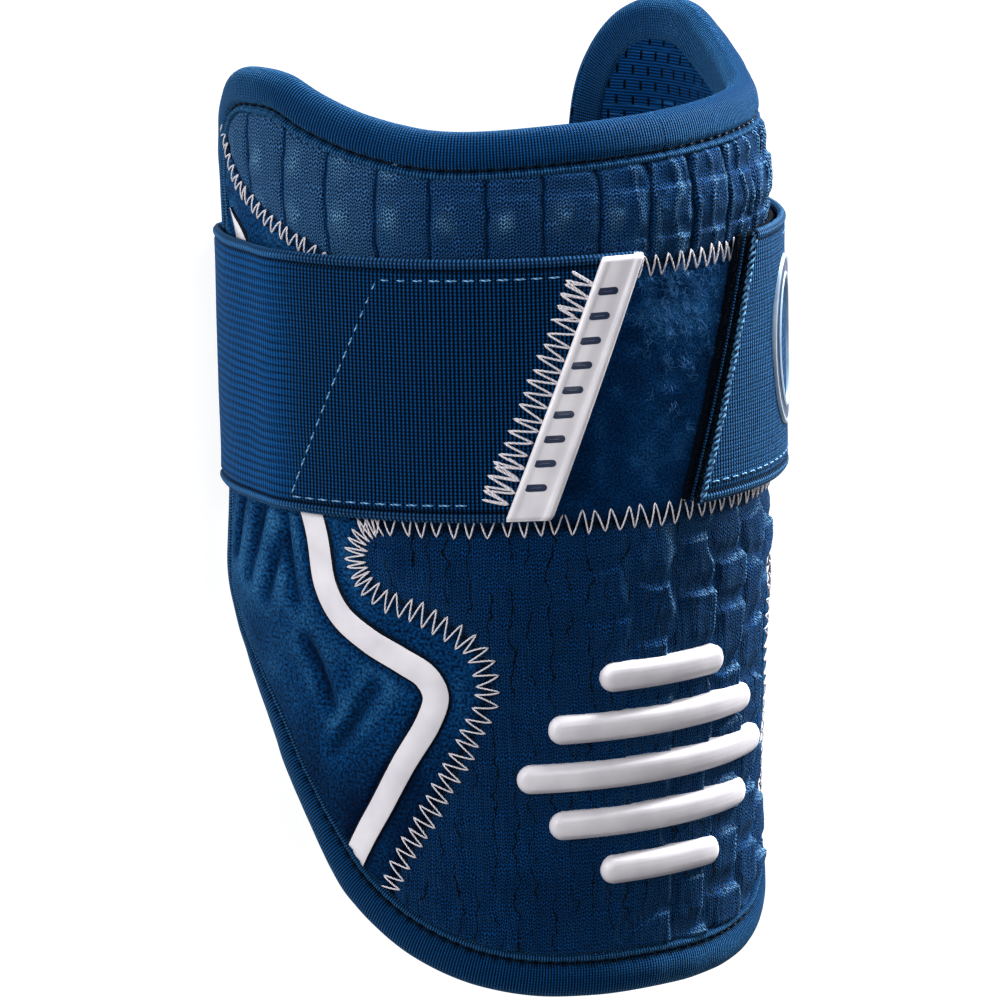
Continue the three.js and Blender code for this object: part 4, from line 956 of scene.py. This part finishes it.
def strapPiece():
    half, wide = strap["thickness"] / 2, strap["width"] / 2
    closer = math.pi / 2 * 0.985   # columns lie closer together towards the selvages
    across = np.sin(np.linspace(-1, 1, strap["columns"]) * closer) * wide / math.sin(closer)
    selvage = wide - np.abs(across)
    thin = 0.45 * bell(selvage, 0.4) + 0.35 * bell(selvage - 2.3, 0.35) - 0.2 * bell(selvage - 1.2, 0.8)
    first, last = slant(strap["leftEnd"], 0) + 1.5, strapWhole + slant(strap["rightEnd"], 0)
    middle = np.linspace(first, last, strap["rows"])[:, None]
    nearStart = 1 - smoothStep(0, strap["slantReach"], middle - first)
    nearEnd = 1 - smoothStep(0, strap["slantReach"], last - middle)
    edges = np.concatenate([across, across[::-1]])
    outer = np.concatenate([half - thin, (-half + thin)[::-1]])
    startShift = slant(strap["leftEnd"], edges) - slant(strap["leftEnd"], 0)
    endShift = slant(strap["rightEnd"], edges) - slant(strap["rightEnd"], 0)
    length = middle + nearStart * startShift[None] + nearEnd * endShift[None]
    h = np.broadcast_to(edges[None], length.shape)
    sway = 0.22 * softNoise(length, h, 14, 61) + 0.5 * nearEnd * smoothStep(8, 28, h)
    out = outer[None] + sway * smoothStep(0, 10, middle - first)
    points = strapPoint(length, h, out)
    count, columns = len(edges), strap["columns"]
    k = np.arange(columns - 1)
    cap = np.stack([k, k + 1, count - 2 - k, count - 1 - k], -1)
    faces = np.vstack([gridFaces(*length.shape, closeColumns=True), cap,
                       cap[:, ::-1] + count * (strap["rows"] - 1)])
    selvage = wide - np.abs(h)
    onRight = smoothStep(strapWhole * 0.6, strapWhole * 0.7, length)
    stretch = np.maximum(0.7 * smoothStep(84, 102, length) * (1 - onRight), 0.2 * onRight)
    # Painted highlight on the rolled selvages and over the right part, painted shade in the groove beside
    # each selvage; darkest along the cut right end
    crest = 0.35 * (1 - smoothStep(1.7, 2.0, selvage)) - 1.4 * bell(selvage - 2.3, 0.3) + 0.26 * onRight
    crest[-1:] = -1
    piece = newPiece("strap_webbing", points.reshape(-1, 3), faces, asUv(length, h), webbing,
                     "elastic_webbing", ["strap"], crest=np.clip(crest, -1, 1), stretch=stretch)
    return piece, last - first


strapWebbing, strapLength = strapPiece()
print("strap made, mm long:", round(strapLength))

# Zigzag and straight stitches
thread = {
    "radius": 0.21, "steps": 8, "pitch": 3.0, "turnPitch": 1.7, "unevenness": 0.16, "straightShare": 0.55,
    "sink": 0.2, "hump": 0.35, "clearOfEdge": 9.6, "lowest": -127.0, "highest": 54.0,
}


# Zigzag over a line, as (x, h, share of a thread's hump); pitch may vary along the line
def zigzag(line, reach, pitch, seed):
    run, along = runOf(line), unit(np.gradient(line, axis=0))
    pitches = np.broadcast_to(pitch, run.shape)
    strokes = np.concatenate([[0], np.cumsum(np.diff(run) * 2 / pitches[1:])])
    count = int(strokes[-1])
    rng = np.random.default_rng(seed)
    knots = np.interp(np.linspace(0, strokes[-1], count + 1), strokes, run)
    uneven = rng.uniform(-thread["unevenness"], thread["unevenness"], count + 1)
    knots = knots + uneven * np.interp(knots, run, pitches)
    sides = np.where(np.arange(count + 1) % 2, 1.0, -1.0) * reach / 2 * rng.uniform(0.85, 1.08, count + 1)
    t = np.linspace(0, 1, thread["steps"], endpoint=False)
    straight = thread["straightShare"]
    eased = straight * t + (1 - straight) * (1 - np.cos(math.pi * t)) / 2
    spots = (knots[:-1, None] + (knots[1:] - knots[:-1])[:, None] * t).ravel()
    side = (sides[:-1, None] + (sides[1:] - sides[:-1])[:, None] * eased).ravel()
    x, h = (np.interp(spots, run, line[:, k]) for k in (0, 1))
    ax, ah = (np.interp(spots, run, along[:, k]) for k in (0, 1))
    return x + ah * side, h - ax * side, np.tile(np.sin(math.pi * t), count)


def seamStitches(name, lines, reach, pitches, seed, slotName):
    paths, ups = [], []
    for k, (line, pitch) in enumerate(zip(lines, pitches)):
        x, h, hump = zigzag(line, reach, pitch, seed + k)
        paths.append(place(x, h, thread["sink"] - thread["hump"] * hump))
        ups.append(outwards(x))
    threadPiece(name, paths, ups, thread["radius"], 6, whiteThread, slotName)


def levelLine(h):
    x = np.arange(-panelSide, panelSide, 0.5)
    return np.stack([x, np.full(len(x), h)], -1)


def clippedSeam(line, side, low, high):
    return onSide(line[(line[:, 1] >= low) & (line[:, 1] <= high)], side)


lowerSides = [clippedSeam(lowerSeam, side, thread["lowest"], seams["panelBottom"]) for side in (-1, 1)]
lowerSides = [line[distanceTo(outline, *line.T) > thread["clearOfEdge"]] for line in lowerSides]
upperSides = [clippedSeam(upperSeam, side, seams["panelTop"], thread["highest"]) for side in (-1, 1)]
tight = [thread["turnPitch"] + (thread["pitch"] - thread["turnPitch"]) * smoothStep(-42, -48, line[:, 1])
         for line in lowerSides]
seamStitches("lower_seam_stitches", lowerSides, 5.5, tight, 71, "front_knit")
seamStitches("upper_seam_stitches", upperSides, 3.9, (2.7, 2.7), 73, "front_knit")
seamStitches("panel_top_stitches", [levelLine(24.4)], 4.8, [3.2], 75, "loop_pile")
seamStitches("panel_bottom_stitches", [levelLine(-30.0)], 5.4, [3.6], 76, "loop_pile")


# Path of a thread on the strap's face, and its up vectors
def strapPath(points, rise):
    path = onWebbing(points[:, 0], points[:, 1], rise)
    return path, unit(onWebbing(points[:, 0], points[:, 1], rise + 1) - path)


# Bar tack beside the pull tab, sewn over a second time at its ends; places are (degrees, height)
tack = {"top": (-21.6, 24.4), "bottom": (-40.5, -24.7), "reach": 6.2, "pitch": 2.75, "radius": 0.28,
        "secondShift": 0.28, "secondAbove": 15.0, "secondBelow": -14.0}


def onStrap(spot):
    return np.array([angleRun(spot[0]), spot[1]])


def barTack():
    top, bottom = onStrap(tack["top"]), onStrap(tack["bottom"])
    line = top + (bottom - top) * np.linspace(0, 1, 200)[:, None]
    paths, ups = [], []
    for seed, shift in ((81, 0), (82, tack["secondShift"])):
        length, h, hump = zigzag(line + [0, shift], tack["reach"], tack["pitch"], seed)
        path, up = strapPath(np.stack([length, h], -1), 0.1 + 0.25 * hump)
        for part in (h > tack["secondAbove"], h < tack["secondBelow"]) if shift else (slice(None),):
            paths.append(path[part])
            ups.append(up[part])
    threadPiece("strap_bar_tack", paths, ups, tack["radius"], 6, whiteThread, "elastic_webbing")


# Dashed runs round the left end's patch and along the right end's edges
dashes = {
    "radius": 0.22, "rise": 0.12,
    # from and to as (degrees, height), pitch, end of each stitch as a share of the pitch, lift
    "runs": [((-26, 24.3), (-62.9, 23.9), 3.4, 0.82, -0.05),
             ((-62.9, 23.9), (-84.7, -25.2), 3.4, 0.82, -0.05),
             ((-84.7, -25.2), (-45, -24.6), 3.4, 0.82, -0.05),
             ((25.5, 24.6), (60, 24.6), 3.2, 0.75, 0), ((7, -24.2), (60, -24.2), 3.2, 0.75, 0)],
}


def strapDashes():
    paths, ups = [], []
    for start, end, pitch, share, lift in dashes["runs"]:
        a, b = onStrap(start), onStrap(end)
        count = int(np.linalg.norm(b - a) / pitch)
        for i in range(count):
            t = (i + np.linspace(0.12, share, 6)) / count
            path, up = strapPath(a + (b - a) * t[:, None],
                                 lift + dashes["rise"] * np.sin(np.linspace(0, math.pi, 6)))
            paths.append(path)
            ups.append(up)
    threadPiece("strap_dashes", paths, ups, dashes["radius"], 5, paleThread, "elastic_webbing")


barTack()
strapDashes()
print("stitches made")

# Pull tab
tab = {"width": 9.0, "thickness": 1.3, "nose": 1.2, "lip": 5.0, "sections": 90, "clearance": 0.25,
       "faceRise": 0.93, "endInset": 0.4}


def pullTab():
    face = strap["thickness"] / 2 + tab["clearance"]
    under = -face - tab["thickness"] * 0.7
    loop = [(tab["width"], face), (tab["width"] + 0.05, face + 0.5), (tab["width"] - 0.5, face + 1.0),
            (tab["width"] - 1.3, face + 1.02), (tab["width"] - 1.9, face + 0.9), (4.5, face + 0.95),
            (1.6, face + 0.92), (1.0, face + 1.15), (-0.2, face + 1.05), (-tab["nose"], face * 0.4),
            (-tab["nose"], -face * 0.7), (-0.3, under), (tab["lip"], under), (tab["lip"] + 0.2, -face),
            (tab["nose"], -face), (tab["nose"], 0), (tab["nose"], face)]
    profile = smoothCurve(loop, True, 0.28)
    ease = np.linspace(-1, 1, tab["sections"])
    half = sleeve["strapHalf"] - tab["endInset"]
    heights = (np.sign(ease) * (1 - (1 - np.abs(ease)) ** 1.5) * half)[:, None]   # denser at both ends
    end = 1 - smoothStep(0, 0.9, half - np.abs(heights))
    inset = profile[None, :, 0] + end * 0.25 * np.sign(tab["width"] / 2 - profile[None, :, 0])
    out = profile[None, :, 1] * (1 - 0.22 * end)
    h = np.broadcast_to(heights, (len(heights), len(profile)))
    length = slant(strap["leftEnd"], h) + inset
    points = strapPoint(length, h, out)
    centre = points.mean(1, keepdims=True)
    points = np.concatenate([centre[:1] + (points[:1] - centre[:1]) * 0.02, points,
                             centre[-1:] + (points[-1:] - centre[-1:]) * 0.02])
    uv = asUv(runOf(profile)[None], np.vstack([heights[:1], heights, heights[-1:]]))
    newPiece("pull_tab_moulding", points.reshape(-1, 3), gridFaces(*points.shape[:2], closeColumns=True), uv,
             whiteRubber, "moulded_white", ["pull_tab"])


pullTab()


# Raised shape on a base: rings of an outline, each drawn in and raised; at() places (x, h, rise)
def raisedShape(name, ring, levels, at, material, slotName, nodes):
    along = unit(np.roll(ring, -1, 0) - np.roll(ring, 1, 0))
    inward = np.stack([along[:, 1], -along[:, 0]], -1)
    rings, uv = [], []
    for shrink, rise in levels:
        points = ring + inward * shrink
        rings.append(at(points[:, 0], points[:, 1], rise))
        uv.append(points)
    faces = gridFaces(len(levels), len(ring), closeColumns=True)
    return newPiece(name, np.vstack(rings), faces, np.vstack(uv), material, slotName, nodes)


# Outline of a bar with round ends, of so many points an end
def stadium(length, tall, count):
    straight = (length - tall) / 2
    turn = np.linspace(math.pi / 2, -math.pi / 2, count)
    right = np.stack([straight + tall / 2 * np.cos(turn), tall / 2 * np.sin(turn)], -1)
    top = np.stack([np.linspace(-straight, straight, 30)[1:-1], np.full(28, tall / 2)], -1)
    return np.vstack([top, right, -top, -right])


def onPad(x, h, rise):
    return place(x, h, 0 * x - rise)


emblem = {"height": -86.5, "angle": -2.0, "length": 72.0, "barHeight": 6.4, "pitch": 10.8, "raise": 2.0,
          "shares": [0.47, 0.8, 1, 0.8, 0.47]}


def emblemBars():
    half, top = emblem["barHeight"] / 2, emblem["raise"]
    levels = [(-0.15, -1.0), (0, 0.5), (0.15, 0.95), (1.05, top - 0.25), (1.25, top - 0.12),
              (half * 0.7, top - 0.02), (half, top)]
    for i, share in enumerate(emblem["shares"]):
        centre = np.array([emblem["angle"] * mmPerDegree, emblem["height"] + (2 - i) * emblem["pitch"]])
        ring = stadium(share * emblem["length"], emblem["barHeight"], 18) + centre
        raisedShape(f"emblem_bar_moulding_{i + 1}", ring, levels, onPad, whiteRubber, "moulded_white",
                    [f"emblem_bar_{i + 1}"])


emblemBars()

# Plain dashes printed across the tab
tabMarks = {"count": 9, "pitch": 5.2, "length": 4.7, "width": 1.6}


def pullTabMarks():
    face = tab["clearance"] + tab["faceRise"]
    vertices, faces, uv, start = [], [], [], 0
    for i in range(tabMarks["count"]):
        h = (tabMarks["count"] / 2 - 0.5 - i) * tabMarks["pitch"]
        ring = stadium(tabMarks["length"], tabMarks["width"], 10)
        ring = ring + [slant(strap["leftEnd"], h) + 5.4, h]
        centre = np.repeat(ring.mean(0)[None], len(ring), 0)
        flat = np.stack([ring, centre + (ring - centre) * [0.5, 0.02]])
        points = onWebbing(flat[..., 0], flat[..., 1], face + np.array([0.04, 0.06])[:, None])
        vertices.append(points.reshape(-1, 3))
        uv.append(flat.reshape(-1, 2))
        faces.append(gridFaces(2, len(ring), closeColumns=True, start=start))
        start += points.shape[0] * points.shape[1]
    newPiece("pull_tab_marks", np.vstack(vertices), np.vstack(faces), np.vstack(uv), navyRubber,
             "moulded_navy", [])


pullTabMarks()

# Badge: a flat ring with a pale rim on each side of a navy band
badge = {"angle": 43.0, "height": 1.0, "width": 24.0, "length": 38.0, "band": 5.0, "rim": 0.75, "face": 0.45}


def strapBadge():
    turn = np.linspace(0, 2 * math.pi, 120, endpoint=False)
    ring = np.stack([badge["width"] / 2 * np.cos(turn), badge["length"] / 2 * np.sin(turn)], -1)[::-1]
    ring = ring + [angleRun(badge["angle"]), badge["height"]]
    half = [(0, -0.1), (0.05, badge["face"]), (0.35, badge["rim"]), (0.8, badge["rim"]), (1.05, 0.5)]
    levels = half + [(badge["band"] / 2, badge["face"])]
    levels = levels + [(badge["band"] - shrink, rise) for shrink, rise in half[::-1]]
    piece = raisedShape("strap_badge_moulding", ring, levels, onWebbing, navyRubber, "moulded_navy",
                        ["strap_badge"])
    piece.data.materials.append(paleRubber)
    level = np.repeat(np.arange(len(levels) - 1), len(ring))
    pale = ((level <= 3) | (level >= len(levels) - 5)).astype(np.int32)
    piece.data.polygons.foreach_set("material_index", pale)


strapBadge()
print("moulded trim made")

# Hook tapes keep their solids
for node in ("hook_tape_left", "hook_tape_right"):
    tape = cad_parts[node]
    tape.data.materials.clear()
    tape.data.materials.append(hookNylon)

# Bristles and the woven-in line of the hook tape that shows beside the strap's end
bristles = {"count": 900, "reach": 28.0, "from": 0.2, "to": 3.6, "middle": (22.6, 2.6), "lean": 0.25,
            "sink": 0.35, "rise": 0.5, "halfWidth": 0.09, "line": (22.7, 2.7), "lineRadius": 0.3}


def hookBristles():
    b = bristles
    rng = np.random.default_rng(95)
    face = -strap["thickness"] / 2 - b["sink"]
    h = rng.uniform(-b["reach"], b["reach"], b["count"])
    start = slant(strap["rightEnd"], h) + rng.uniform(b["from"], b["to"], b["count"])
    t = np.linspace(0, 1, 4)[None]
    away = rng.uniform(0.5, 1.5, b["count"]) * np.sign(start - slant(b["middle"], h))
    length = start[:, None] + t * away[:, None]
    rise = b["rise"] * np.sin(math.pi * t * 0.75)
    up = h[:, None] + rng.normal(0, b["lean"], b["count"])[:, None] * t
    wide = b["halfWidth"] * (1 - 0.4 * t)
    points = np.stack([strapPoint(length, up + side * wide, face + rise) for side in (-1, 1)], 2)
    points = points.reshape(-1, 3)
    newPiece("hook_tape_bristles", points, fibreFaces(b["count"], 4), np.zeros((len(points), 2)), darkThread,
             "hook_tape")
    h = np.linspace(28.2, -28.2, 200)
    length = slant(b["line"], h)
    threadPiece("hook_tape_line", [strapPoint(length, h, face + 0.15)], [outwards(-length)],
                b["lineRadius"], 6, bindingKnit, "hook_tape")


hookBristles()

# Curled flat fibres from roots (x, h), rising over the surface; at(x, h, rise) places them
def fibres(rng, x, h, length, width, curl, lift, at, turn=None):
    count = len(x)
    turn = (rng.uniform(0, 2 * math.pi, count) if turn is None else turn)[:, None]
    size = (length * rng.uniform(0.4, 1.2, count))[:, None]
    t = np.linspace(0, 1, 5)[None]
    angle = turn + rng.normal(0, curl, count)[:, None] * t
    px, ph = x[:, None] + size * t * np.cos(angle), h[:, None] + size * t * np.sin(angle)
    rise = lift * np.sin(math.pi * t * 0.8) * rng.uniform(0.4, 1.2, count)[:, None]
    wide = width * (1 - 0.6 * t) / 2
    points = np.stack([at(px - side * np.sin(angle) * wide, ph + side * np.cos(angle) * wide, rise)
                       for side in (1, -1)], 2).reshape(-1, 3)
    return points, fibreFaces(count, 5), np.zeros((len(points), 2))


# Pile fibres on the part of the loop panel that shows, and pale tufts that are pulled out of it
fuzz = {
    "from": (-44.0, -29.0), "to": (32.0, 23.5), "count": 5000, "length": 1.2, "width": 0.07,
    "tufts": 120, "each": 9, "strayLength": 2.0, "strayWidth": 0.12,
    "strayMiddle": (3.0, 14.5), "straySpread": (6.5, 5.5), "strayFrom": (-30, -27), "strayTo": (22, 22),
}
fibreRandom = np.random.default_rng(91)


def pileFibres(rng):
    f = fuzz
    x, h = (rng.uniform(f["from"][k], f["to"][k], f["count"]) for k in (0, 1))
    newPiece("loop_panel_fibres", *fibres(rng, x, h, f["length"], f["width"], 1.5, 0.6, onPad), loopPile,
             "loop_pile")
    middles = rng.normal(0, 1, (f["tufts"], 2)) * f["straySpread"] + f["strayMiddle"]
    middles[::6, 1] -= rng.uniform(4, 28, len(middles[::6]))   # a few lower down
    roots = np.repeat(middles, f["each"], 0) + rng.normal(0, 0.7, (f["tufts"] * f["each"], 2))
    turn = np.repeat(rng.uniform(0, 2 * math.pi, f["tufts"]), f["each"]) + rng.normal(0, 0.6, len(roots))
    x, h = np.clip(roots, f["strayFrom"], f["strayTo"]).T
    strays = fibres(rng, x, h, f["strayLength"], f["strayWidth"], 1.1, 0.8, onPad, turn)
    newPiece("loop_panel_strays", *strays, paleThread, "loop_pile")


# Two twisted plies that bind the strap's right end
overlock = {"reach": 28.0, "turnPitch": 3.3, "inset": 0.35, "swing": 0.42, "rise": 0.36, "radius": 0.36}


def strapOverlock():
    paths, ups = [], []
    h = np.linspace(overlock["reach"], -overlock["reach"], 360)
    for ply in (0, math.pi):
        turn = 2 * math.pi * h / overlock["turnPitch"] + ply + 0.5 * softNoise(h, 0 * h, 5, 97)
        swing = overlock["swing"] + 0.16 * softNoise(h, 0 * h, 1.4, 98)
        length = slant(strap["rightEnd"], h) - overlock["inset"] + swing * np.cos(turn)
        paths.append(onWebbing(length, h, 0.1 - 0.25 + overlock["rise"] * np.sin(turn)))
        ups.append(outwards(-length))
    threadPiece("strap_overlock", paths, ups, overlock["radius"], 7, overlockThread, "elastic_webbing")


# Frayed fibres along the right end and at the top of the left one
frays = {"rightCount": 260, "leftCount": 50, "top": 28.2, "bottom": -28.4, "leftReach": (-2, 12),
         "length": 1.5, "width": 0.11, "sink": 0.25}


def frayedEnds(rng):
    t = rng.uniform(0, 1, frays["rightCount"])
    high, low = strap["rightEnd"]
    right = np.stack([angleRun(high + (low - high) * t),
                      frays["top"] + (frays["bottom"] - frays["top"]) * t], -1)
    start = slant(strap["leftEnd"], 28)
    lengths = rng.uniform(start + frays["leftReach"][0], start + frays["leftReach"][1], frays["leftCount"])
    x, h = np.vstack([right, np.stack([lengths, np.full(len(lengths), frays["top"])], -1)]).T

    def sunk(length, h, rise):
        return onWebbing(length, h, rise - frays["sink"])
    newPiece("strap_frayed_ends", *fibres(rng, x, h, frays["length"], frays["width"], 1.8, 0.5, sunk),
             paleThread, "elastic_webbing")


pileFibres(fibreRandom)
strapOverlock()
frayedEnds(fibreRandom)
print("pile and strap ends made")

# Floor, light and camera
studio = {"floorSize": 3.0, "floorDrop": 0.0004, "floorGlow": 0.92, "world": 0.1}
floorMesh = bpy.data.meshes.new("floor")
s = studio["floorSize"]
floorMesh.from_pydata([(-s, -s, 0), (s, -s, 0), (s, s, 0), (-s, s, 0)], [], [(0, 1, 2, 3)])
floor = bpy.data.objects.new("floor", floorMesh)
floor.location.z = -studio["floorDrop"]
bpy.context.scene.collection.objects.link(floor)
floorPaint = bpy.data.materials.new("mattWhiteFloor")
floorPaint.use_nodes = True
for socket, value in (("Base Color", toLinear("#6a6a6a")), ("Roughness", 0.9),
                      ("Emission Color", (1, 1, 1, 1)), ("Emission Strength", studio["floorGlow"])):
    floorPaint.node_tree.nodes["Principled BSDF"].inputs[socket].default_value = value
floorMesh.materials.append(floorPaint)
floor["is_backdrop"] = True

world = bpy.data.worlds.new("studio")
bpy.context.scene.world = world
world.use_nodes = True
world.node_tree.nodes["Background"].inputs["Color"].default_value = (1, 1, 1, 1)
world.node_tree.nodes["Background"].inputs["Strength"].default_value = studio["world"]

# name: (direction from the guard, distance, size, watts)
lights = {
    "keySoftbox": ((1.0, 0.55, 0.12), 0.9, (0.2, 0.3), 19),
    "rimSoftbox": ((0.35, 1.0, 0.2), 0.9, (0.5, 0.15), 14),
    "leftSoftbox": ((-1.0, 0.35, 0.2), 0.8, (0.15, 0.4), 4),
    "topFill": ((-0.3, 0.1, 1.0), 1.2, (0.5, 0.5), 6),
}
centre = Vector((0, 0, 0.05))
for name, (direction, distance, (wide, tall), watts) in lights.items():
    lamp = bpy.data.lights.new(name, "AREA")
    lamp.shape = "RECTANGLE"
    lamp.size, lamp.size_y, lamp.energy = wide, tall, watts
    holder = bpy.data.objects.new(name, lamp)
    holder.location = centre + Vector(direction).normalized() * distance
    holder.rotation_euler = (centre - holder.location).to_track_quat("-Z", "Y").to_euler()
    bpy.context.scene.collection.objects.link(holder)

view = {"azimuth": 38.0, "elevation": 9.906, "roll": 1.31, "distance": 1.5, "focalPixels": 6746.0,
        "offset": (-1.55, -159.1), "imageWidth": 1001}


def makeCamera():
    a, e, roll = (view[k] * degree for k in ("azimuth", "elevation", "roll"))
    back = Vector((-math.sin(a) * math.cos(e), math.sin(e), math.cos(a) * math.cos(e)))
    right = Vector((math.cos(a), 0, math.sin(a)))
    up = back.cross(right).normalized()
    imageRight = right * math.cos(roll) - up * math.sin(roll)
    imageUp = right * math.sin(roll) + up * math.cos(roll)
    target = Vector((0, -middleHeight * milli, axisHeight * milli))
    forward = (-back * view["focalPixels"] + imageRight * view["offset"][0]
               + imageUp * view["offset"][1]).normalized()
    side = forward.cross(imageUp).normalized()
    top = side.cross(forward)
    lens = bpy.data.cameras.new("camera")
    lens.sensor_width = 36
    lens.lens = math.hypot(view["focalPixels"], view["offset"][1]) / view["imageWidth"] * 36
    camera = bpy.data.objects.new("camera", lens)
    spot = target + back * view["distance"]
    camera.matrix_world = Matrix((
        (side.x, top.x, -forward.x, spot.x), (side.y, top.y, -forward.y, spot.y),
        (side.z, top.z, -forward.z, spot.z), (0, 0, 0, 1)))
    bpy.context.scene.collection.objects.link(camera)
    bpy.context.scene.camera = camera


makeCamera()
bpy.context.scene.view_settings.view_transform = "Standard"
bpy.context.scene.view_settings.gamma = 0.86   # deep darks, as in a catalogue picture

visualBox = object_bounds()
print("size", [round(v, 4) for c in (*cadBox, *visualBox) for v in c])
